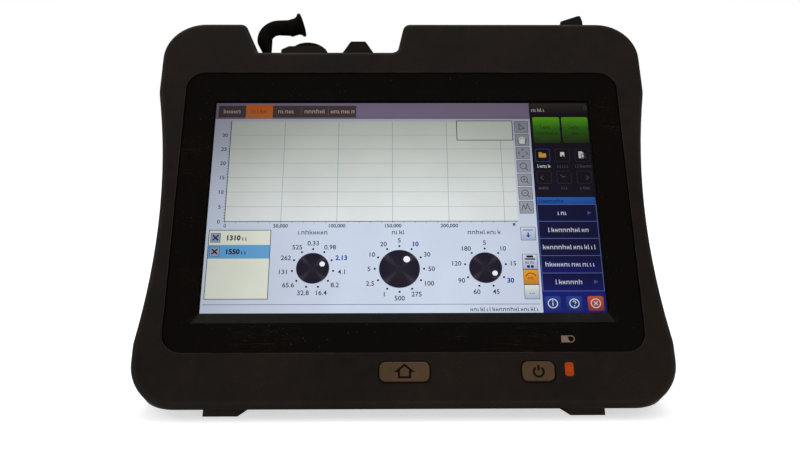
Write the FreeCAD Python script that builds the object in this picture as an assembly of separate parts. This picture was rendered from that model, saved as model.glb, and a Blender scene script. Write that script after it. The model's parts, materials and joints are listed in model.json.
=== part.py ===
"""Optical time domain reflectometer: a tablet-style fibre tester leaning back on its kickstand.

Everything is modelled in the case's own frame: x to the right, y from the front face into the case,
z up the face from the chin's lower edge. stand_up() leans each piece back onto the bench at the end.
"""
import FreeCAD, Part
import math
import os
from FreeCAD import Vector

# ---------------------------------------------------------------- driving sizes (mm, degrees)
# Face: the display's opening and the borders round it set the size of the case
VIEW_W = 153.4            # opening of the bezel
VIEW_H = 92.4
BEZEL_SIDE = 11.9
BEZEL_FOOT = 15.6
BEZEL_HEAD = 12.4
BEZEL_LOW_Z = 20.2
BEZEL_W = VIEW_W + 2 * BEZEL_SIDE
VIEW_Z = BEZEL_LOW_Z + BEZEL_FOOT + VIEW_H / 2
BEZEL_HIGH_Z = VIEW_Z + VIEW_H / 2 + BEZEL_HEAD
CASE_SIDE = 11.4          # case beyond the bezel at the upper lobes
CASE_HEAD = 25.4
CASE_W = BEZEL_W + 2 * CASE_SIDE
CASE_H = BEZEL_HIGH_Z + CASE_HEAD

# Case
LOWER_LOBE_IN = 0.7       # lower lobes inside the upper ones, each side
WAIST_IN = 5.1
LOWER_LOBE_W = CASE_W - 2 * LOWER_LOBE_IN
WAIST_W = CASE_W - 2 * WAIST_IN
WAIST_DROP = 6.0          # waist below the display's middle
WAIST_Z = VIEW_Z - WAIST_DROP
LOWER_LOBE_Z = 24.0
UPPER_LOBE_DROP = 34.0
UPPER_LOBE_Z = CASE_H - UPPER_LOBE_DROP
CORNER_R = 17.0
LOBE_R = 18.0
WAIST_SHARE = 0.94        # part of each waist leg that the waist arc takes
FRONT_D = 30.0            # front housing, face to parting line
REAR_D = 35.0             # rear housing, parting line to back face
REAR_DRAFT = 5.0          # how far the back face is inset all round
FRONT_EDGE_R = 2.4
BACK_EDGE_R = 4.0
WALL = 3.0
FRONT_WALL = 5.0
CHIN_D = 3.5              # flat underside behind the face, before the underside rises
UNDER_RISE = 32.0         # rise of the underside towards the back

# Stance
LEAN = 30.0               # the face leans back this far
FOOT_Y = 10.0             # front edge of the feet's soles
FOOT_DROP = 0.9           # how far the soles' front edge hangs below the chin

# Connector bay in the top edge
BAY_LEFT = -60.2
BAY_RIGHT = -1.8
BAY_DEPTH = 14.3
BAY_FLOOR_Z = CASE_H - BAY_DEPTH
BAY_LEFT_RUN = 6.0
BAY_RIGHT_RUN = 3.0
BAY_CORNER_R = 3.0
PANEL_LEFT = -56.0        # loose panel in the bay's floor that carries the ports
PANEL_RIGHT = -5.5
PANEL_LEDGE = 1.5
PANEL_LEDGE_T = 1.2

# Display stack
BEZEL_R = 7.6
BEZEL_SINK = 0.6
BEZEL_T = 2.2
BEZEL_SLOPE_W = 4.2       # width of the bezel's slope down to the glass
BEZEL_SLOPE_D = 1.3
FIT_GAP = 0.2             # side clearance of panels and caps in their openings
GASKET_W = 2.0
GASKET_T = 0.4
GLASS_T = 1.0
GLASS_MARGIN = 3.4        # glass beyond the bezel's opening
LCD_MARGIN = 5.8
LCD_W = VIEW_W + 2 * LCD_MARGIN
LCD_H = VIEW_H + 2 * LCD_MARGIN
LCD_T = 6.0
CHASSIS_T = 1.5
CHASSIS_FOOT_IN = 0.3     # chassis inside the bezel's foot and beyond its head
CHASSIS_HEAD_OUT = 2.9
CHASSIS_LOW_Z = BEZEL_LOW_Z + CHASSIS_FOOT_IN
CHASSIS_HIGH_Z = BEZEL_HIGH_Z + CHASSIS_HEAD_OUT
CHASSIS_BOSS_IN = 16.7
CHASSIS_BOSS_X = VIEW_W / 2 - CHASSIS_BOSS_IN
BOSS_R = 3.0
BOARD_GAP = 3.0
BOARD_T = 1.6
BOARD_LEFT_IN = 22.0      # main board's edges inside the case and the bezel
BOARD_RIGHT_IN = 32.0
BOARD_FOOT_IN = 9.8
BOARD_HEAD_IN = 4.6
BOARD_LEFT = BOARD_LEFT_IN - CASE_W / 2
BOARD_RIGHT = CASE_W / 2 - BOARD_RIGHT_IN
BOARD_LOW_Z = BEZEL_LOW_Z + BOARD_FOOT_IN
BOARD_HIGH_Z = BEZEL_HIGH_Z - BOARD_HEAD_IN
MODULE_T = 24.0
MODULE_LEFT_RUN = 30.0    # module beyond each port's axis
MODULE_RIGHT_RUN = 12.0

# Keys and light
KEY_Z = 12.7
HOME_X = 0.0
HOME_W = 18.1
POWER_X = 48.4
POWER_W = 11.7
KEY_H = 7.3
KEY_R = 2.2
KEY_PROUD = 0.8
KEY_TRAVEL = 0.8
KEY_FLANGE = 1.2          # rim and thickness of the flange behind the wall
SWITCH_R = 2.6
SWITCH_T = 1.4
LIGHT_X = 59.7
LIGHT_Z = 13.6
LIGHT_W = 3.1
LIGHT_H = 5.1

# Optical ports (both axes point up the face)
PORT_Y = 14.0
PORT_ONE_X = -40.2
PORT_TWO_X = -18.6
GUARD_LEFT = 10.55        # guard's foot and top, either side of the port
GUARD_RIGHT = 8.4
GUARD_TOP_LEFT = 7.3
GUARD_TOP_RIGHT = 5.6
GUARD_Y = 1.6
GUARD_H = 3.3
GUARD_SLOPE_H = 1.7
FLANGE_R = 10.2
FLANGE_H = 3.4
COLLAR_R = 8.3
COLLAR_H = 8.6
COLLAR_WALL = 1.8
HOLDER_R = 3.0
HOLDER_DROP = 1.8         # holder's end below the collar's rim
STEM_R = 4.0
STEM_DROP = 6.2           # stem's end below the bay floor
SLEEVE_DROP = 5.8
FERRULE_R = 1.26          # bore for a 2.5 mm ferrule
SLEEVE_R = 1.8
ADAPTER_W = 7.4
ADAPTER_H = 5.3
ADAPTER_FLANGE = 1.0
CAP_TWO_W = 17.0
CAP_TWO_TOP_W = 6.3
CAP_TWO_D = 12.0
CAP_TWO_H = 9.0

# Tethered dust cap
POST_X = -58.1
POST_R = 0.75
STRAP_R = 1.7
CAP_TUBE_R = 3.5
CAP_BEND_TUBE_R = 3.3
CAP_RISE = 13.2           # strap from its foot to its bend
CAP_LEAN = 1.5            # the strap's upper half leans away from the ports
CAP_BEND_R = 6.2
CAP_RUN = 5.4
CAP_CUP_LEN = 5.0
CAP_RIM_R = 5.2
CAP_RIM_TILT = 20.0
POST_H = 6.0

# Stylus
STYLUS_IN = 24.8          # stylus inside the case's right side
STYLUS_X = CASE_W / 2 - STYLUS_IN
STYLUS_Y = 17.0
STYLUS_R = 3.2
STYLUS_HEAD_H = 13.4
STYLUS_HEAD_D = 7.2
STYLUS_HEAD_LEFT = 4.4
STYLUS_HEAD_RIGHT = 5.4
TUBE_WALL = 0.9
TUBE_LEN = 102.0

# Battery
BATTERY_W = 80.0
BATTERY_H = 50.0
BATTERY_T = 19.6
BATTERY_Z = 74.5
BATTERY_GAP = 0.8         # round the pack in its compartment
BAY_WALL = 2.0
DOOR_SIDE = 3.2           # door beyond the compartment, each side
DOOR_T = 2.0
DOOR_LEDGE = 2.0
DOOR_TAB_H = 6.5          # top strip of the door that takes its screws
DOOR_SCREW_HEAD_T = 1.3
GROOVE_COUNT = 4
GROOVE_PITCH = 3.0
GROOVE_R = 0.8
CONTACT_W = 24.0
CONTACT_H = 6.0
CONTACT_RISE = 7.0        # middle of the contacts above the compartment's foot

# Kickstand
STAND_SIDE = 1.0          # stand beyond the battery door, each side
STAND_T = 6.0
STAND_GAP = 1.0
HINGE_RISE = 10.5         # hinge above the battery
HINGE_BARREL_R = 3.5
HINGE_PIN_R = 1.5
HINGE_PIN_LEN = 14.0
STAND_SPLAY = 10.0        # beyond vertical when open
STAND_NOTCH_R = 10.0
STAND_PAD_IN_X = 14.0
STAND_PAD_SIDE = 3.0      # stand beyond its pads
STAND_PAD_T = 2.5
PIN_FIT = 0.05

# Side ports and their door
SIDE_BELOW = 24.0         # side door below and above the waist
SIDE_ABOVE = 27.0
SIDE_LOW_Z = WAIST_Z - SIDE_BELOW
SIDE_HIGH_Z = WAIST_Z + SIDE_ABOVE
SIDE_Y = 11.2
SIDE_HINGE_Y = 26.0
SIDE_DOOR_T = 1.6
SIDE_PAD = 2.0            # extra wall behind the door
SIDE_BARREL_R = 1.3
SIDE_PIN_R = 0.7
SIDE_LUG_H = 4.0
IO_BOARD_IN = 20.0
IO_BOARD_X = CASE_W / 2 - IO_BOARD_IN
USB_W = 13.1
USB_H = 5.7
USB_DROP = 18.1           # lower USB socket below the waist
USB_PITCH = 8.6
USB_Z = (WAIST_Z - USB_DROP, WAIST_Z - USB_DROP + USB_PITCH)
JACK_LAN_W = 13.5
JACK_LAN_H = 15.9
LAN_RISE = 4.6
LAN_Z = WAIST_Z + LAN_RISE
DC_W = 9.0
DC_RISE = 19.8
DC_Z = WAIST_Z + DC_RISE
DC_BORE_R = 2.8
DC_PIN_R = 0.9
LAN_HOLE_W = 8.2
LAN_HOLE_H = 11.8
USB_SHEET = 0.4
USB_TONGUE_W = 11.2
SOCKET_DEPTH = 10.0

# Fasteners and small parts
SCREW_R = 1.5
SCREW_HEAD_R = 2.8
SCREW_HEAD_T = 1.8
CASE_SCREW_IN = 12.5
CASE_SCREW_FOOT = 46.0
CASE_SCREW_HEAD = 20.0
CASE_SCREW_X = CASE_W / 2 - CASE_SCREW_IN
CASE_SCREW_Z = (CASE_SCREW_FOOT, CASE_H - CASE_SCREW_HEAD)
CASE_BOSS_R = 4.0
CASE_SCREW_SEAT = 8.0     # seat of the case screws behind the parting line
SCREW_BITE = 10.0         # thread in the front bosses
SEAL_W = 1.2
SEAL_T = 0.9
FOOT_IN = 25.9            # front feet inside the lower lobes
FOOT_FLAT_W = 9.8
FOOT_W = 15.2
FOOT_OUT_X = LOWER_LOBE_W / 2 - FOOT_IN
FOOT_FLAT_X = FOOT_OUT_X - FOOT_FLAT_W
FOOT_IN_X = FOOT_OUT_X - FOOT_W
FOOT_D = 16.0
FOOT_LOW_Z = -6.0         # foot's blank, before the bench plane trims it
PAD_R = 6.0
PAD_T = 3.0
PAD_IN = 28.0
PAD_FOOT = 56.0
PAD_HEAD = 28.0
PAD_X = CASE_W / 2 - PAD_IN
PAD_Z = (PAD_FOOT, CASE_H - PAD_HEAD)
VENT_COUNT = 7
VENT_HEAD = 14.5          # case above the highest vent
VENT_W = 26.0
VENT_H = 2.0
SPEAKER_R = 14.0
SPEAKER_T = 4.0
SPEAKER_RIM = 2.0

BACK_Y = FRONT_D + REAR_D
OVER = 1.0                # how far cutters run past a face
FAR = 400.0


# ---------------------------------------------------------------- drawing helpers
def box(x0, x1, y0, y1, z0, z1):
    return Part.makeBox(x1 - x0, y1 - y0, z1 - z0, Vector(x0, y0, z0))


def rod(radius, start, end):
    axis = Vector(*end) - Vector(*start)
    return Part.makeCylinder(radius, axis.Length, Vector(*start), axis)


def rounded_wire(corners, y):
    """Closed wire at depth y; each corner is (x, z, radius)."""
    points = [Vector(x, y, z) for x, z, radius in corners]
    starts = []
    ends = []
    arcs = []
    for index, (x, z, radius) in enumerate(corners):
        here = points[index]
        back = (points[index - 1] - here).normalize()
        ahead = (points[(index + 1) % len(points)] - here).normalize()
        half = back.getAngle(ahead) / 2
        reach = radius / math.tan(half)
        starts.append(here + back * reach)
        ends.append(here + ahead * reach)
        middle = here + (back + ahead).normalize() * (radius / math.sin(half) - radius)
        arcs.append(middle)
    edges = []
    for index, (x, z, radius) in enumerate(corners):
        if radius > 0:
            edges.append(Part.Arc(starts[index], arcs[index], ends[index]).toShape())
        following = starts[(index + 1) % len(corners)]
        if ends[index].distanceToPoint(following) > 1e-6:
            edges.append(Part.makeLine(ends[index], following))
    return Part.Wire(edges)


def plate(corners, y0, y1):
    """Extrude a rounded outline from depth y0 to y1."""
    return Part.Face(rounded_wire(corners, y0)).extrude(Vector(0, y1 - y0, 0))


def rectangle(x, z, width, height, radius=0.0):
    """Corners of an upright rectangle about (x, z)."""
    return [(x - width / 2, z - height / 2, radius), (x + width / 2, z - height / 2, radius),
            (x + width / 2, z + height / 2, radius), (x - width / 2, z + height / 2, radius)]


def inset(corners, distance):
    """Move every side of an anticlockwise outline inwards, keeping its arcs concentric."""
    moved = []
    for index, (x, z, radius) in enumerate(corners):
        x0, z0, r0 = corners[index - 1]
        x1, z1, r1 = corners[(index + 1) % len(corners)]
        into = Vector(x - x0, 0, z - z0).normalize()
        out = Vector(x1 - x, 0, z1 - z).normalize()
        turn = into.x * out.z - into.z * out.x
        share = distance / (1 + into.dot(out))
        new_x = x + share * (-into.z - out.z)
        new_z = z + share * (into.x + out.x)
        new_radius = radius - distance if turn > 0 else radius + distance
        moved.append((new_x, new_z, max(new_radius, 0.4)))
    return moved


def side_prism(profile, x0, x1):
    """Extrude a (y, z) polygon along x."""
    points = [Vector(x0, y, z) for y, z in profile]
    return Part.Face(Part.makePolygon(points + points[:1])).extrude(Vector(x1 - x0, 0, 0))


def turned(profile, x, y):
    """Revolve a closed (radius, z) profile about the upright axis through (x, y)."""
    points = [Vector(x + radius, y, z) for radius, z in profile]
    face = Part.Face(Part.makePolygon(points + points[:1]))
    return face.revolve(Vector(x, y, 0), Vector(0, 0, 1), 360)


def under(depth, slope, y, z):
    """Everything below a plane that passes (y, z), rises towards the back, and is raised by depth."""
    rise = math.tan(math.radians(slope))
    lift = depth / math.cos(math.radians(slope))
    profile = [(y - FAR, z - FAR * rise + lift), (y + FAR, z + FAR * rise + lift),
               (y + FAR, z - FAR), (y - FAR, z - FAR * rise - FAR)]
    return side_prism(profile, -FAR, FAR)


def under_case(depth=0.0):
    return under(depth, UNDER_RISE, CHIN_D, 0.0)


def under_floor(depth=0.0):
    return under(depth, LEAN, FOOT_Y, -FOOT_DROP)


def fuse(shapes):
    return shapes[0].multiFuse(shapes[1:]).removeSplitter()


# ---------------------------------------------------------------- case outline
def waist_corner():
    """The two straight legs of the waist meet here; the waist arc spans most of both."""
    lobe = (CASE_W + LOWER_LOBE_W) / 4
    vertex = (WAIST_W / 2 - 0.5 * WAIST_SHARE * lobe) / (1 - 0.5 * WAIST_SHARE)
    legs = []
    for edge_x, edge_z in ((LOWER_LOBE_W / 2, LOWER_LOBE_Z), (CASE_W / 2, UPPER_LOBE_Z)):
        legs.append(Vector(edge_x - vertex, 0, edge_z - WAIST_Z))
    half = legs[0].getAngle(legs[1]) / 2
    radius = WAIST_SHARE * min(leg.Length for leg in legs) * math.tan(half)
    return vertex, radius


def case_outline(with_bay):
    """Anticlockwise outline of the case seen from the front."""
    vertex, waist_r = waist_corner()
    low = LOWER_LOBE_W / 2
    high = CASE_W / 2
    bay = [(BAY_RIGHT + BAY_RIGHT_RUN, CASE_H, BAY_CORNER_R), (BAY_RIGHT, BAY_FLOOR_Z, BAY_CORNER_R),
           (BAY_LEFT, BAY_FLOOR_Z, 1.0), (BAY_LEFT - BAY_LEFT_RUN, CASE_H, BAY_CORNER_R)]
    right = [(low, 0.0, CORNER_R), (low, LOWER_LOBE_Z, LOBE_R), (vertex, WAIST_Z, waist_r),
             (high, UPPER_LOBE_Z, LOBE_R), (high, CASE_H, CORNER_R)]
    left = [(-x, z, radius) for x, z, radius in reversed(right)]
    return right + (bay if with_bay else []) + left


def front_slice(depth, y0, y1, with_bay=True):
    """The case's outline, inset by depth, between two depths of the front housing."""
    return plate(inset(case_outline(with_bay), depth), y0, y1)


def rear_loft(depth, y0, y1, with_bay=False):
    """The drafted rear body, inset by depth, between two depths."""
    wires = []
    for y in (y0, y1):
        draft = REAR_DRAFT * (y - FRONT_D) / REAR_D
        wires.append(rounded_wire(inset(case_outline(with_bay), depth + draft), y))
    return Part.makeLoft(wires, True, True)


# ---------------------------------------------------------------- planes and places that pieces share
BEZEL_FRONT = BEZEL_SINK
BEZEL_BACK = BEZEL_SINK + BEZEL_T
LIP_BACK = BEZEL_FRONT + BEZEL_SLOPE_D + 0.2
GLASS_FRONT = LIP_BACK + GASKET_T
LCD_FRONT = GLASS_FRONT + GLASS_T
CHASSIS_FRONT = LCD_FRONT + LCD_T
CHASSIS_BACK = CHASSIS_FRONT + CHASSIS_T
BOARD_FRONT = CHASSIS_BACK + BOARD_GAP
BOARD_BACK = BOARD_FRONT + BOARD_T
GLASS_W = VIEW_W + 2 * GLASS_MARGIN
GLASS_H = VIEW_H + 2 * GLASS_MARGIN

HOLD_W = BATTERY_W + 2 * BATTERY_GAP
HOLD_H = BATTERY_H + 2 * BATTERY_GAP
DOOR_W = HOLD_W + 2 * DOOR_SIDE
DOOR_SCREW_X = DOOR_W / 2 - 14.0
STAND_W = DOOR_W + 2 * STAND_SIDE
STAND_PAD_OUT_X = STAND_W / 2 - STAND_PAD_SIDE
HINGE_Z = BATTERY_Z + BATTERY_H / 2 + HINGE_RISE
RECESS_W = STAND_W + 2 * STAND_GAP
HINGE_Y = BACK_Y - HINGE_BARREL_R
RECESS_FLOOR_Y = HINGE_Y - HINGE_BARREL_R - 0.5
RECESS_TOP_Z = HINGE_Z + HINGE_BARREL_R + STAND_GAP
DOOR_FRONT_Y = RECESS_FLOOR_Y - DOOR_T
LEDGE_Y = DOOR_FRONT_Y - DOOR_LEDGE
BATTERY_BACK_Y = LEDGE_Y - 0.3
BATTERY_FRONT_Y = BATTERY_BACK_Y - BATTERY_T
HOLD_FRONT_Y = BATTERY_FRONT_Y - 0.3
DOOR_LOW_Z = BATTERY_Z - HOLD_H / 2 - DOOR_LEDGE
DOOR_HIGH_Z = BATTERY_Z + HOLD_H / 2 + DOOR_TAB_H
DOOR_SCREW_Z = DOOR_HIGH_Z - DOOR_TAB_H / 2
DOOR_SCREW_SEAT_Y = RECESS_FLOOR_Y - DOOR_SCREW_HEAD_T - 0.1
CASE_SCREW_SEAT_Y = FRONT_D + CASE_SCREW_SEAT

SIDE_SKIN = SIDE_DOOR_T + FIT_GAP
SIDE_WALL = WALL + SIDE_PAD
SIDE_BACK_Y = SIDE_HINGE_Y + 2.4 * SIDE_BARREL_R
STYLUS_BORE_R = STYLUS_R + 0.3
TUBE_R = STYLUS_BORE_R + TUBE_WALL
TUBE_TOP_Z = CASE_H - 2.0
KEY_BOARD_Y = FRONT_WALL + 0.3 + KEY_FLANGE + KEY_TRAVEL + 0.3 + SWITCH_T
KEY_BOARD_LOW_Z = 8.4
KEY_BOARD_HIGH_Z = 18.2
KEY_BOSS_X = (20.0, 36.0)


def waist_x():
    """Half width of the case at the middle of the waist arc."""
    vertex, radius = waist_corner()
    lobe = (CASE_W + LOWER_LOBE_W) / 4
    half_turn = math.atan2(lobe - vertex, (UPPER_LOBE_Z - LOWER_LOBE_Z) / 2)
    return vertex + radius * (1 / math.cos(half_turn) - 1)


SIDE_HINGE_X = waist_x() - SIDE_BARREL_R


def edges_at(shape, axis, value):
    """Edges that lie wholly in the plane where axis ("X", "Y" or "Z") equals value."""
    found = []
    for edge in shape.Edges:
        bounds = edge.BoundBox
        low = getattr(bounds, axis + "Min")
        high = getattr(bounds, axis + "Max")
        if abs(low - value) < 1e-3 and abs(high - value) < 1e-3:
            found.append(edge)
    return found


def chassis_screw_places():
    low = CHASSIS_LOW_Z + BOSS_R + 1.2
    high = CHASSIS_HIGH_Z - BOSS_R - 1.2
    return [(x, z) for x in (-CHASSIS_BOSS_X, CHASSIS_BOSS_X) for z in (low, high)]


def board_post_places():
    inset_by = BOSS_R + 1.0
    columns = (BOARD_LEFT + inset_by, BOARD_RIGHT - inset_by)
    return [(x, z) for x in columns for z in (BOARD_LOW_Z + inset_by, BOARD_HIGH_Z - inset_by)]


def case_screw_places():
    return [(x, z) for x in (-CASE_SCREW_X, CASE_SCREW_X) for z in CASE_SCREW_Z]


def side_region(depth_out, depth_in, y0, y1, z0, z1):
    """The part of the right-hand wall between two insets, cut to a window of y and z."""
    ring = front_slice(depth_out, y0, y1, False).cut(front_slice(depth_in, y0 - OVER, y1 + OVER, False))
    return ring.common(box(0, CASE_W, y0, y1, z0, z1))


# ---------------------------------------------------------------- case
def front_housing():
    body = front_slice(0.0, 0.0, FRONT_D)
    body = body.makeFillet(FRONT_EDGE_R, edges_at(body, "Y", 0.0))
    body = body.cut(under_case())
    hollow = front_slice(WALL, FRONT_WALL, FRONT_D + OVER).cut(under_case(WALL))
    body = body.cut(hollow)
    middle_z = (BEZEL_LOW_Z + BEZEL_HIGH_Z) / 2
    seat = rectangle(0, middle_z, BEZEL_W + 2 * FIT_GAP, BEZEL_HIGH_Z - BEZEL_LOW_Z + 2 * FIT_GAP,
                     BEZEL_R + FIT_GAP)
    window = rectangle(0, VIEW_Z, LCD_W + 1.0, LCD_H + 1.0, 1.0)
    cuts = [plate(seat, -OVER, BEZEL_BACK), plate(window, 0, FRONT_WALL + OVER)]
    for x, width in ((HOME_X, HOME_W), (POWER_X, POWER_W)):
        hole = rectangle(x, KEY_Z, width + 2 * FIT_GAP, KEY_H + 2 * FIT_GAP, KEY_R + FIT_GAP)
        cuts.append(plate(hole, -OVER, FRONT_WALL + OVER))
    slot = rectangle(LIGHT_X, LIGHT_Z, LIGHT_W + 0.1, LIGHT_H + 0.1, 0.9)
    cuts.append(plate(slot, -OVER, FRONT_WALL + OVER))
    # the port panel slides into the bay's floor from the parting line
    cuts.append(box(PANEL_LEFT - FIT_GAP, PANEL_RIGHT + FIT_GAP, FRONT_WALL, FRONT_D + OVER,
                    BAY_FLOOR_Z - WALL - OVER, BAY_FLOOR_Z + OVER))
    cuts.append(rod(POST_R + 0.02, (POST_X, PORT_Y, BAY_FLOOR_Z - WALL + 0.8),
                    (POST_X, PORT_Y, BAY_FLOOR_Z + OVER)))
    bosses = []
    for x, z in chassis_screw_places():
        bosses.append(rod(BOSS_R, (x, FRONT_WALL - 0.5, z), (x, CHASSIS_FRONT, z)))
        cuts.append(rod(SCREW_R, (x, FRONT_WALL, z), (x, CHASSIS_FRONT + OVER, z)))
    for x in KEY_BOSS_X:
        bosses.append(rod(BOSS_R, (x, FRONT_WALL - 0.5, KEY_Z), (x, KEY_BOARD_Y, KEY_Z)))
        cuts.append(rod(SCREW_R, (x, FRONT_WALL, KEY_Z), (x, KEY_BOARD_Y + OVER, KEY_Z)))
    for x, z in case_screw_places():
        bosses.append(rod(CASE_BOSS_R, (x, FRONT_WALL - 0.5, z), (x, FRONT_D, z)))
        cuts.append(rod(SCREW_R, (x, FRONT_D - SCREW_BITE - 2.0, z), (x, FRONT_D + OVER, z)))
    # the stylus tube hangs from a socket in the right-hand shoulder
    bosses.append(rod(TUBE_R + 1.2, (STYLUS_X, STYLUS_Y, TUBE_TOP_Z - 8.0),
                      (STYLUS_X, STYLUS_Y, CASE_H - 1.0)))
    cuts.append(rod(TUBE_R + 0.02, (STYLUS_X, STYLUS_Y, TUBE_TOP_Z - 9.0),
                    (STYLUS_X, STYLUS_Y, TUBE_TOP_Z)))
    cuts.append(rod(STYLUS_BORE_R, (STYLUS_X, STYLUS_Y, TUBE_TOP_Z - 1.0),
                    (STYLUS_X, STYLUS_Y, CASE_H + OVER)))
    # side ports: thicker wall, pocket for the door, lugs and openings
    bosses.append(side_region(WALL - 0.5, SIDE_WALL, FRONT_WALL - 0.5, SIDE_BACK_Y + 0.8,
                              SIDE_LOW_Z - 2.0, SIDE_HIGH_Z + 2.0))
    body = fuse([body] + bosses)
    cuts.append(side_region(-OVER, SIDE_SKIN, SIDE_Y, SIDE_BACK_Y, SIDE_LOW_Z, SIDE_HIGH_Z))
    cuts.append(rod(SIDE_BARREL_R + 0.3, (SIDE_HINGE_X, SIDE_HINGE_Y, SIDE_LOW_Z),
                    (SIDE_HINGE_X, SIDE_HINGE_Y, SIDE_HIGH_Z)))
    port_y = side_port_y()
    for y_size, z_size, z in side_openings():
        half_y = y_size / 2 + FIT_GAP
        half_z = z_size / 2 + FIT_GAP
        cuts.append(box(IO_BOARD_X, CASE_W / 2, port_y - half_y, port_y + half_y, z - half_z, z + half_z))
    for cutter in cuts:
        body = body.cut(cutter)
    lugs = []
    for z0 in (SIDE_LOW_Z, SIDE_HIGH_Z - SIDE_LUG_H):
        lug = rod(SIDE_BARREL_R, (SIDE_HINGE_X, SIDE_HINGE_Y, z0),
                  (SIDE_HINGE_X, SIDE_HINGE_Y, z0 + SIDE_LUG_H))
        foot = box(SIDE_HINGE_X - 2.5 * SIDE_BARREL_R, SIDE_HINGE_X, SIDE_HINGE_Y - SIDE_BARREL_R,
                   SIDE_HINGE_Y + SIDE_BARREL_R, z0, z0 + SIDE_LUG_H)
        lugs += [lug, foot]
    body = fuse([body] + lugs)
    body = body.cut(rod(SIDE_PIN_R + 0.02, (SIDE_HINGE_X, SIDE_HINGE_Y, SIDE_LOW_Z - 1.0),
                        (SIDE_HINGE_X, SIDE_HINGE_Y, SIDE_HIGH_Z + 1.0)))
    return body


def seal_ring(clearance, y0, y1):
    """A ring along the middle of the case's rim, the sloping underside included."""
    rings = []
    for depth in (WALL / 2 - SEAL_W / 2 - clearance, WALL / 2 + SEAL_W / 2 + clearance):
        rings.append(front_slice(depth, y0, y1).cut(under_case(depth)))
    return rings[0].cut(rings[1])


def side_port_y():
    """Middle of the side door in depth, in front of its hinge."""
    return (SIDE_Y + SIDE_HINGE_Y - SIDE_BARREL_R) / 2


def side_openings():
    """(size in y, size in z, centre z) of each connector in the side wall."""
    usb = [(USB_W, USB_H, z) for z in USB_Z]
    return usb + [(JACK_LAN_W, JACK_LAN_H, LAN_Z), (DC_W, DC_W, DC_Z)]


def rear_housing():
    shell = rear_loft(0.0, FRONT_D, BACK_Y).cut(under_case())
    shell = shell.makeFillet(BACK_EDGE_R, edges_at(shell, "Y", BACK_Y))
    mouth = front_slice(WALL, FRONT_D - OVER, FRONT_D + WALL + 0.1)
    hollow = mouth.fuse(rear_loft(WALL, FRONT_D + WALL, BACK_Y - WALL)).cut(under_case(WALL))
    inner = [box(-RECESS_W / 2 - WALL, RECESS_W / 2 + WALL, LEDGE_Y, BACK_Y, 0, RECESS_TOP_Z + WALL),
             box(-HOLD_W / 2 - BAY_WALL, HOLD_W / 2 + BAY_WALL, HOLD_FRONT_Y - BAY_WALL, LEDGE_Y + 0.5,
                 BATTERY_Z - HOLD_H / 2 - BAY_WALL, BATTERY_Z + HOLD_H / 2 + BAY_WALL)]
    for side in (-1, 1):
        inner.append(rod(HINGE_PIN_R + 2.2, (side * RECESS_W / 2, HINGE_Y, HINGE_Z),
                         (side * (STAND_W / 2 + HINGE_PIN_LEN / 2 + 2.0), HINGE_Y, HINGE_Z)))
        inner.append(rod(SCREW_R + 1.8, (side * DOOR_SCREW_X, LEDGE_Y - 5.0, DOOR_SCREW_Z),
                         (side * DOOR_SCREW_X, LEDGE_Y + 0.5, DOOR_SCREW_Z)))
    for x, z in case_screw_places():
        inner.append(rod(CASE_BOSS_R, (x, FRONT_D, z), (x, BACK_Y, z)))
    inner = [piece.common(shell) for piece in inner]
    body = fuse([shell.cut(hollow)] + inner)
    cuts = [box(-RECESS_W / 2, RECESS_W / 2, RECESS_FLOOR_Y, BACK_Y + OVER, 0, RECESS_TOP_Z),
            box(-HOLD_W / 2, HOLD_W / 2, HOLD_FRONT_Y, DOOR_FRONT_Y + OVER,
                BATTERY_Z - HOLD_H / 2, BATTERY_Z + HOLD_H / 2),
            box(-DOOR_W / 2 - FIT_GAP, DOOR_W / 2 + FIT_GAP, DOOR_FRONT_Y, RECESS_FLOOR_Y + OVER,
                DOOR_LOW_Z - FIT_GAP, DOOR_HIGH_Z + FIT_GAP),
            contact_block(0.1, HOLD_FRONT_Y - BAY_WALL - OVER, HOLD_FRONT_Y + OVER),
            seal_ring(0.0, FRONT_D - OVER, FRONT_D + SEAL_T)]
    for side in (-1, 1):
        cuts.append(rod(HINGE_PIN_R + 0.02, (side * RECESS_W / 2 - side, HINGE_Y, HINGE_Z),
                        (side * (STAND_W / 2 + HINGE_PIN_LEN / 2 + 0.2), HINGE_Y, HINGE_Z)))
        cuts.append(rod(SCREW_R, (side * DOOR_SCREW_X, LEDGE_Y - 4.0, DOOR_SCREW_Z),
                        (side * DOOR_SCREW_X, DOOR_FRONT_Y + OVER, DOOR_SCREW_Z)))
    for x, z in case_screw_places():
        cuts.append(rod(SCREW_R + 0.1, (x, FRONT_D - OVER, z), (x, CASE_SCREW_SEAT_Y + OVER, z)))
        cuts.append(rod(SCREW_HEAD_R + 0.3, (x, CASE_SCREW_SEAT_Y, z), (x, BACK_Y + OVER, z)))
    for z in vent_places():
        slot = rectangle(0, z, VENT_W, VENT_H, VENT_H / 2 - 0.01)
        cuts.append(plate(slot, BACK_Y - WALL - OVER, BACK_Y + OVER))
    for cutter in cuts:
        body = body.cut(cutter)
    return body


def vent_places():
    """Heights of the vents, shared out between the stand's recess and the top of the case."""
    low = RECESS_TOP_Z + WALL + 2 * VENT_H
    pitch = (CASE_H - VENT_HEAD - low) / (VENT_COUNT - 1)
    return [low + index * pitch for index in range(VENT_COUNT)]


def contact_block(clearance, y0, y1):
    middle_z = BATTERY_Z - HOLD_H / 2 + CONTACT_RISE
    return plate(rectangle(0, middle_z, CONTACT_W + 2 * clearance, CONTACT_H + 2 * clearance), y0, y1)


def case_seal():
    return seal_ring(0.0, FRONT_D, FRONT_D + SEAL_T)


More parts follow.
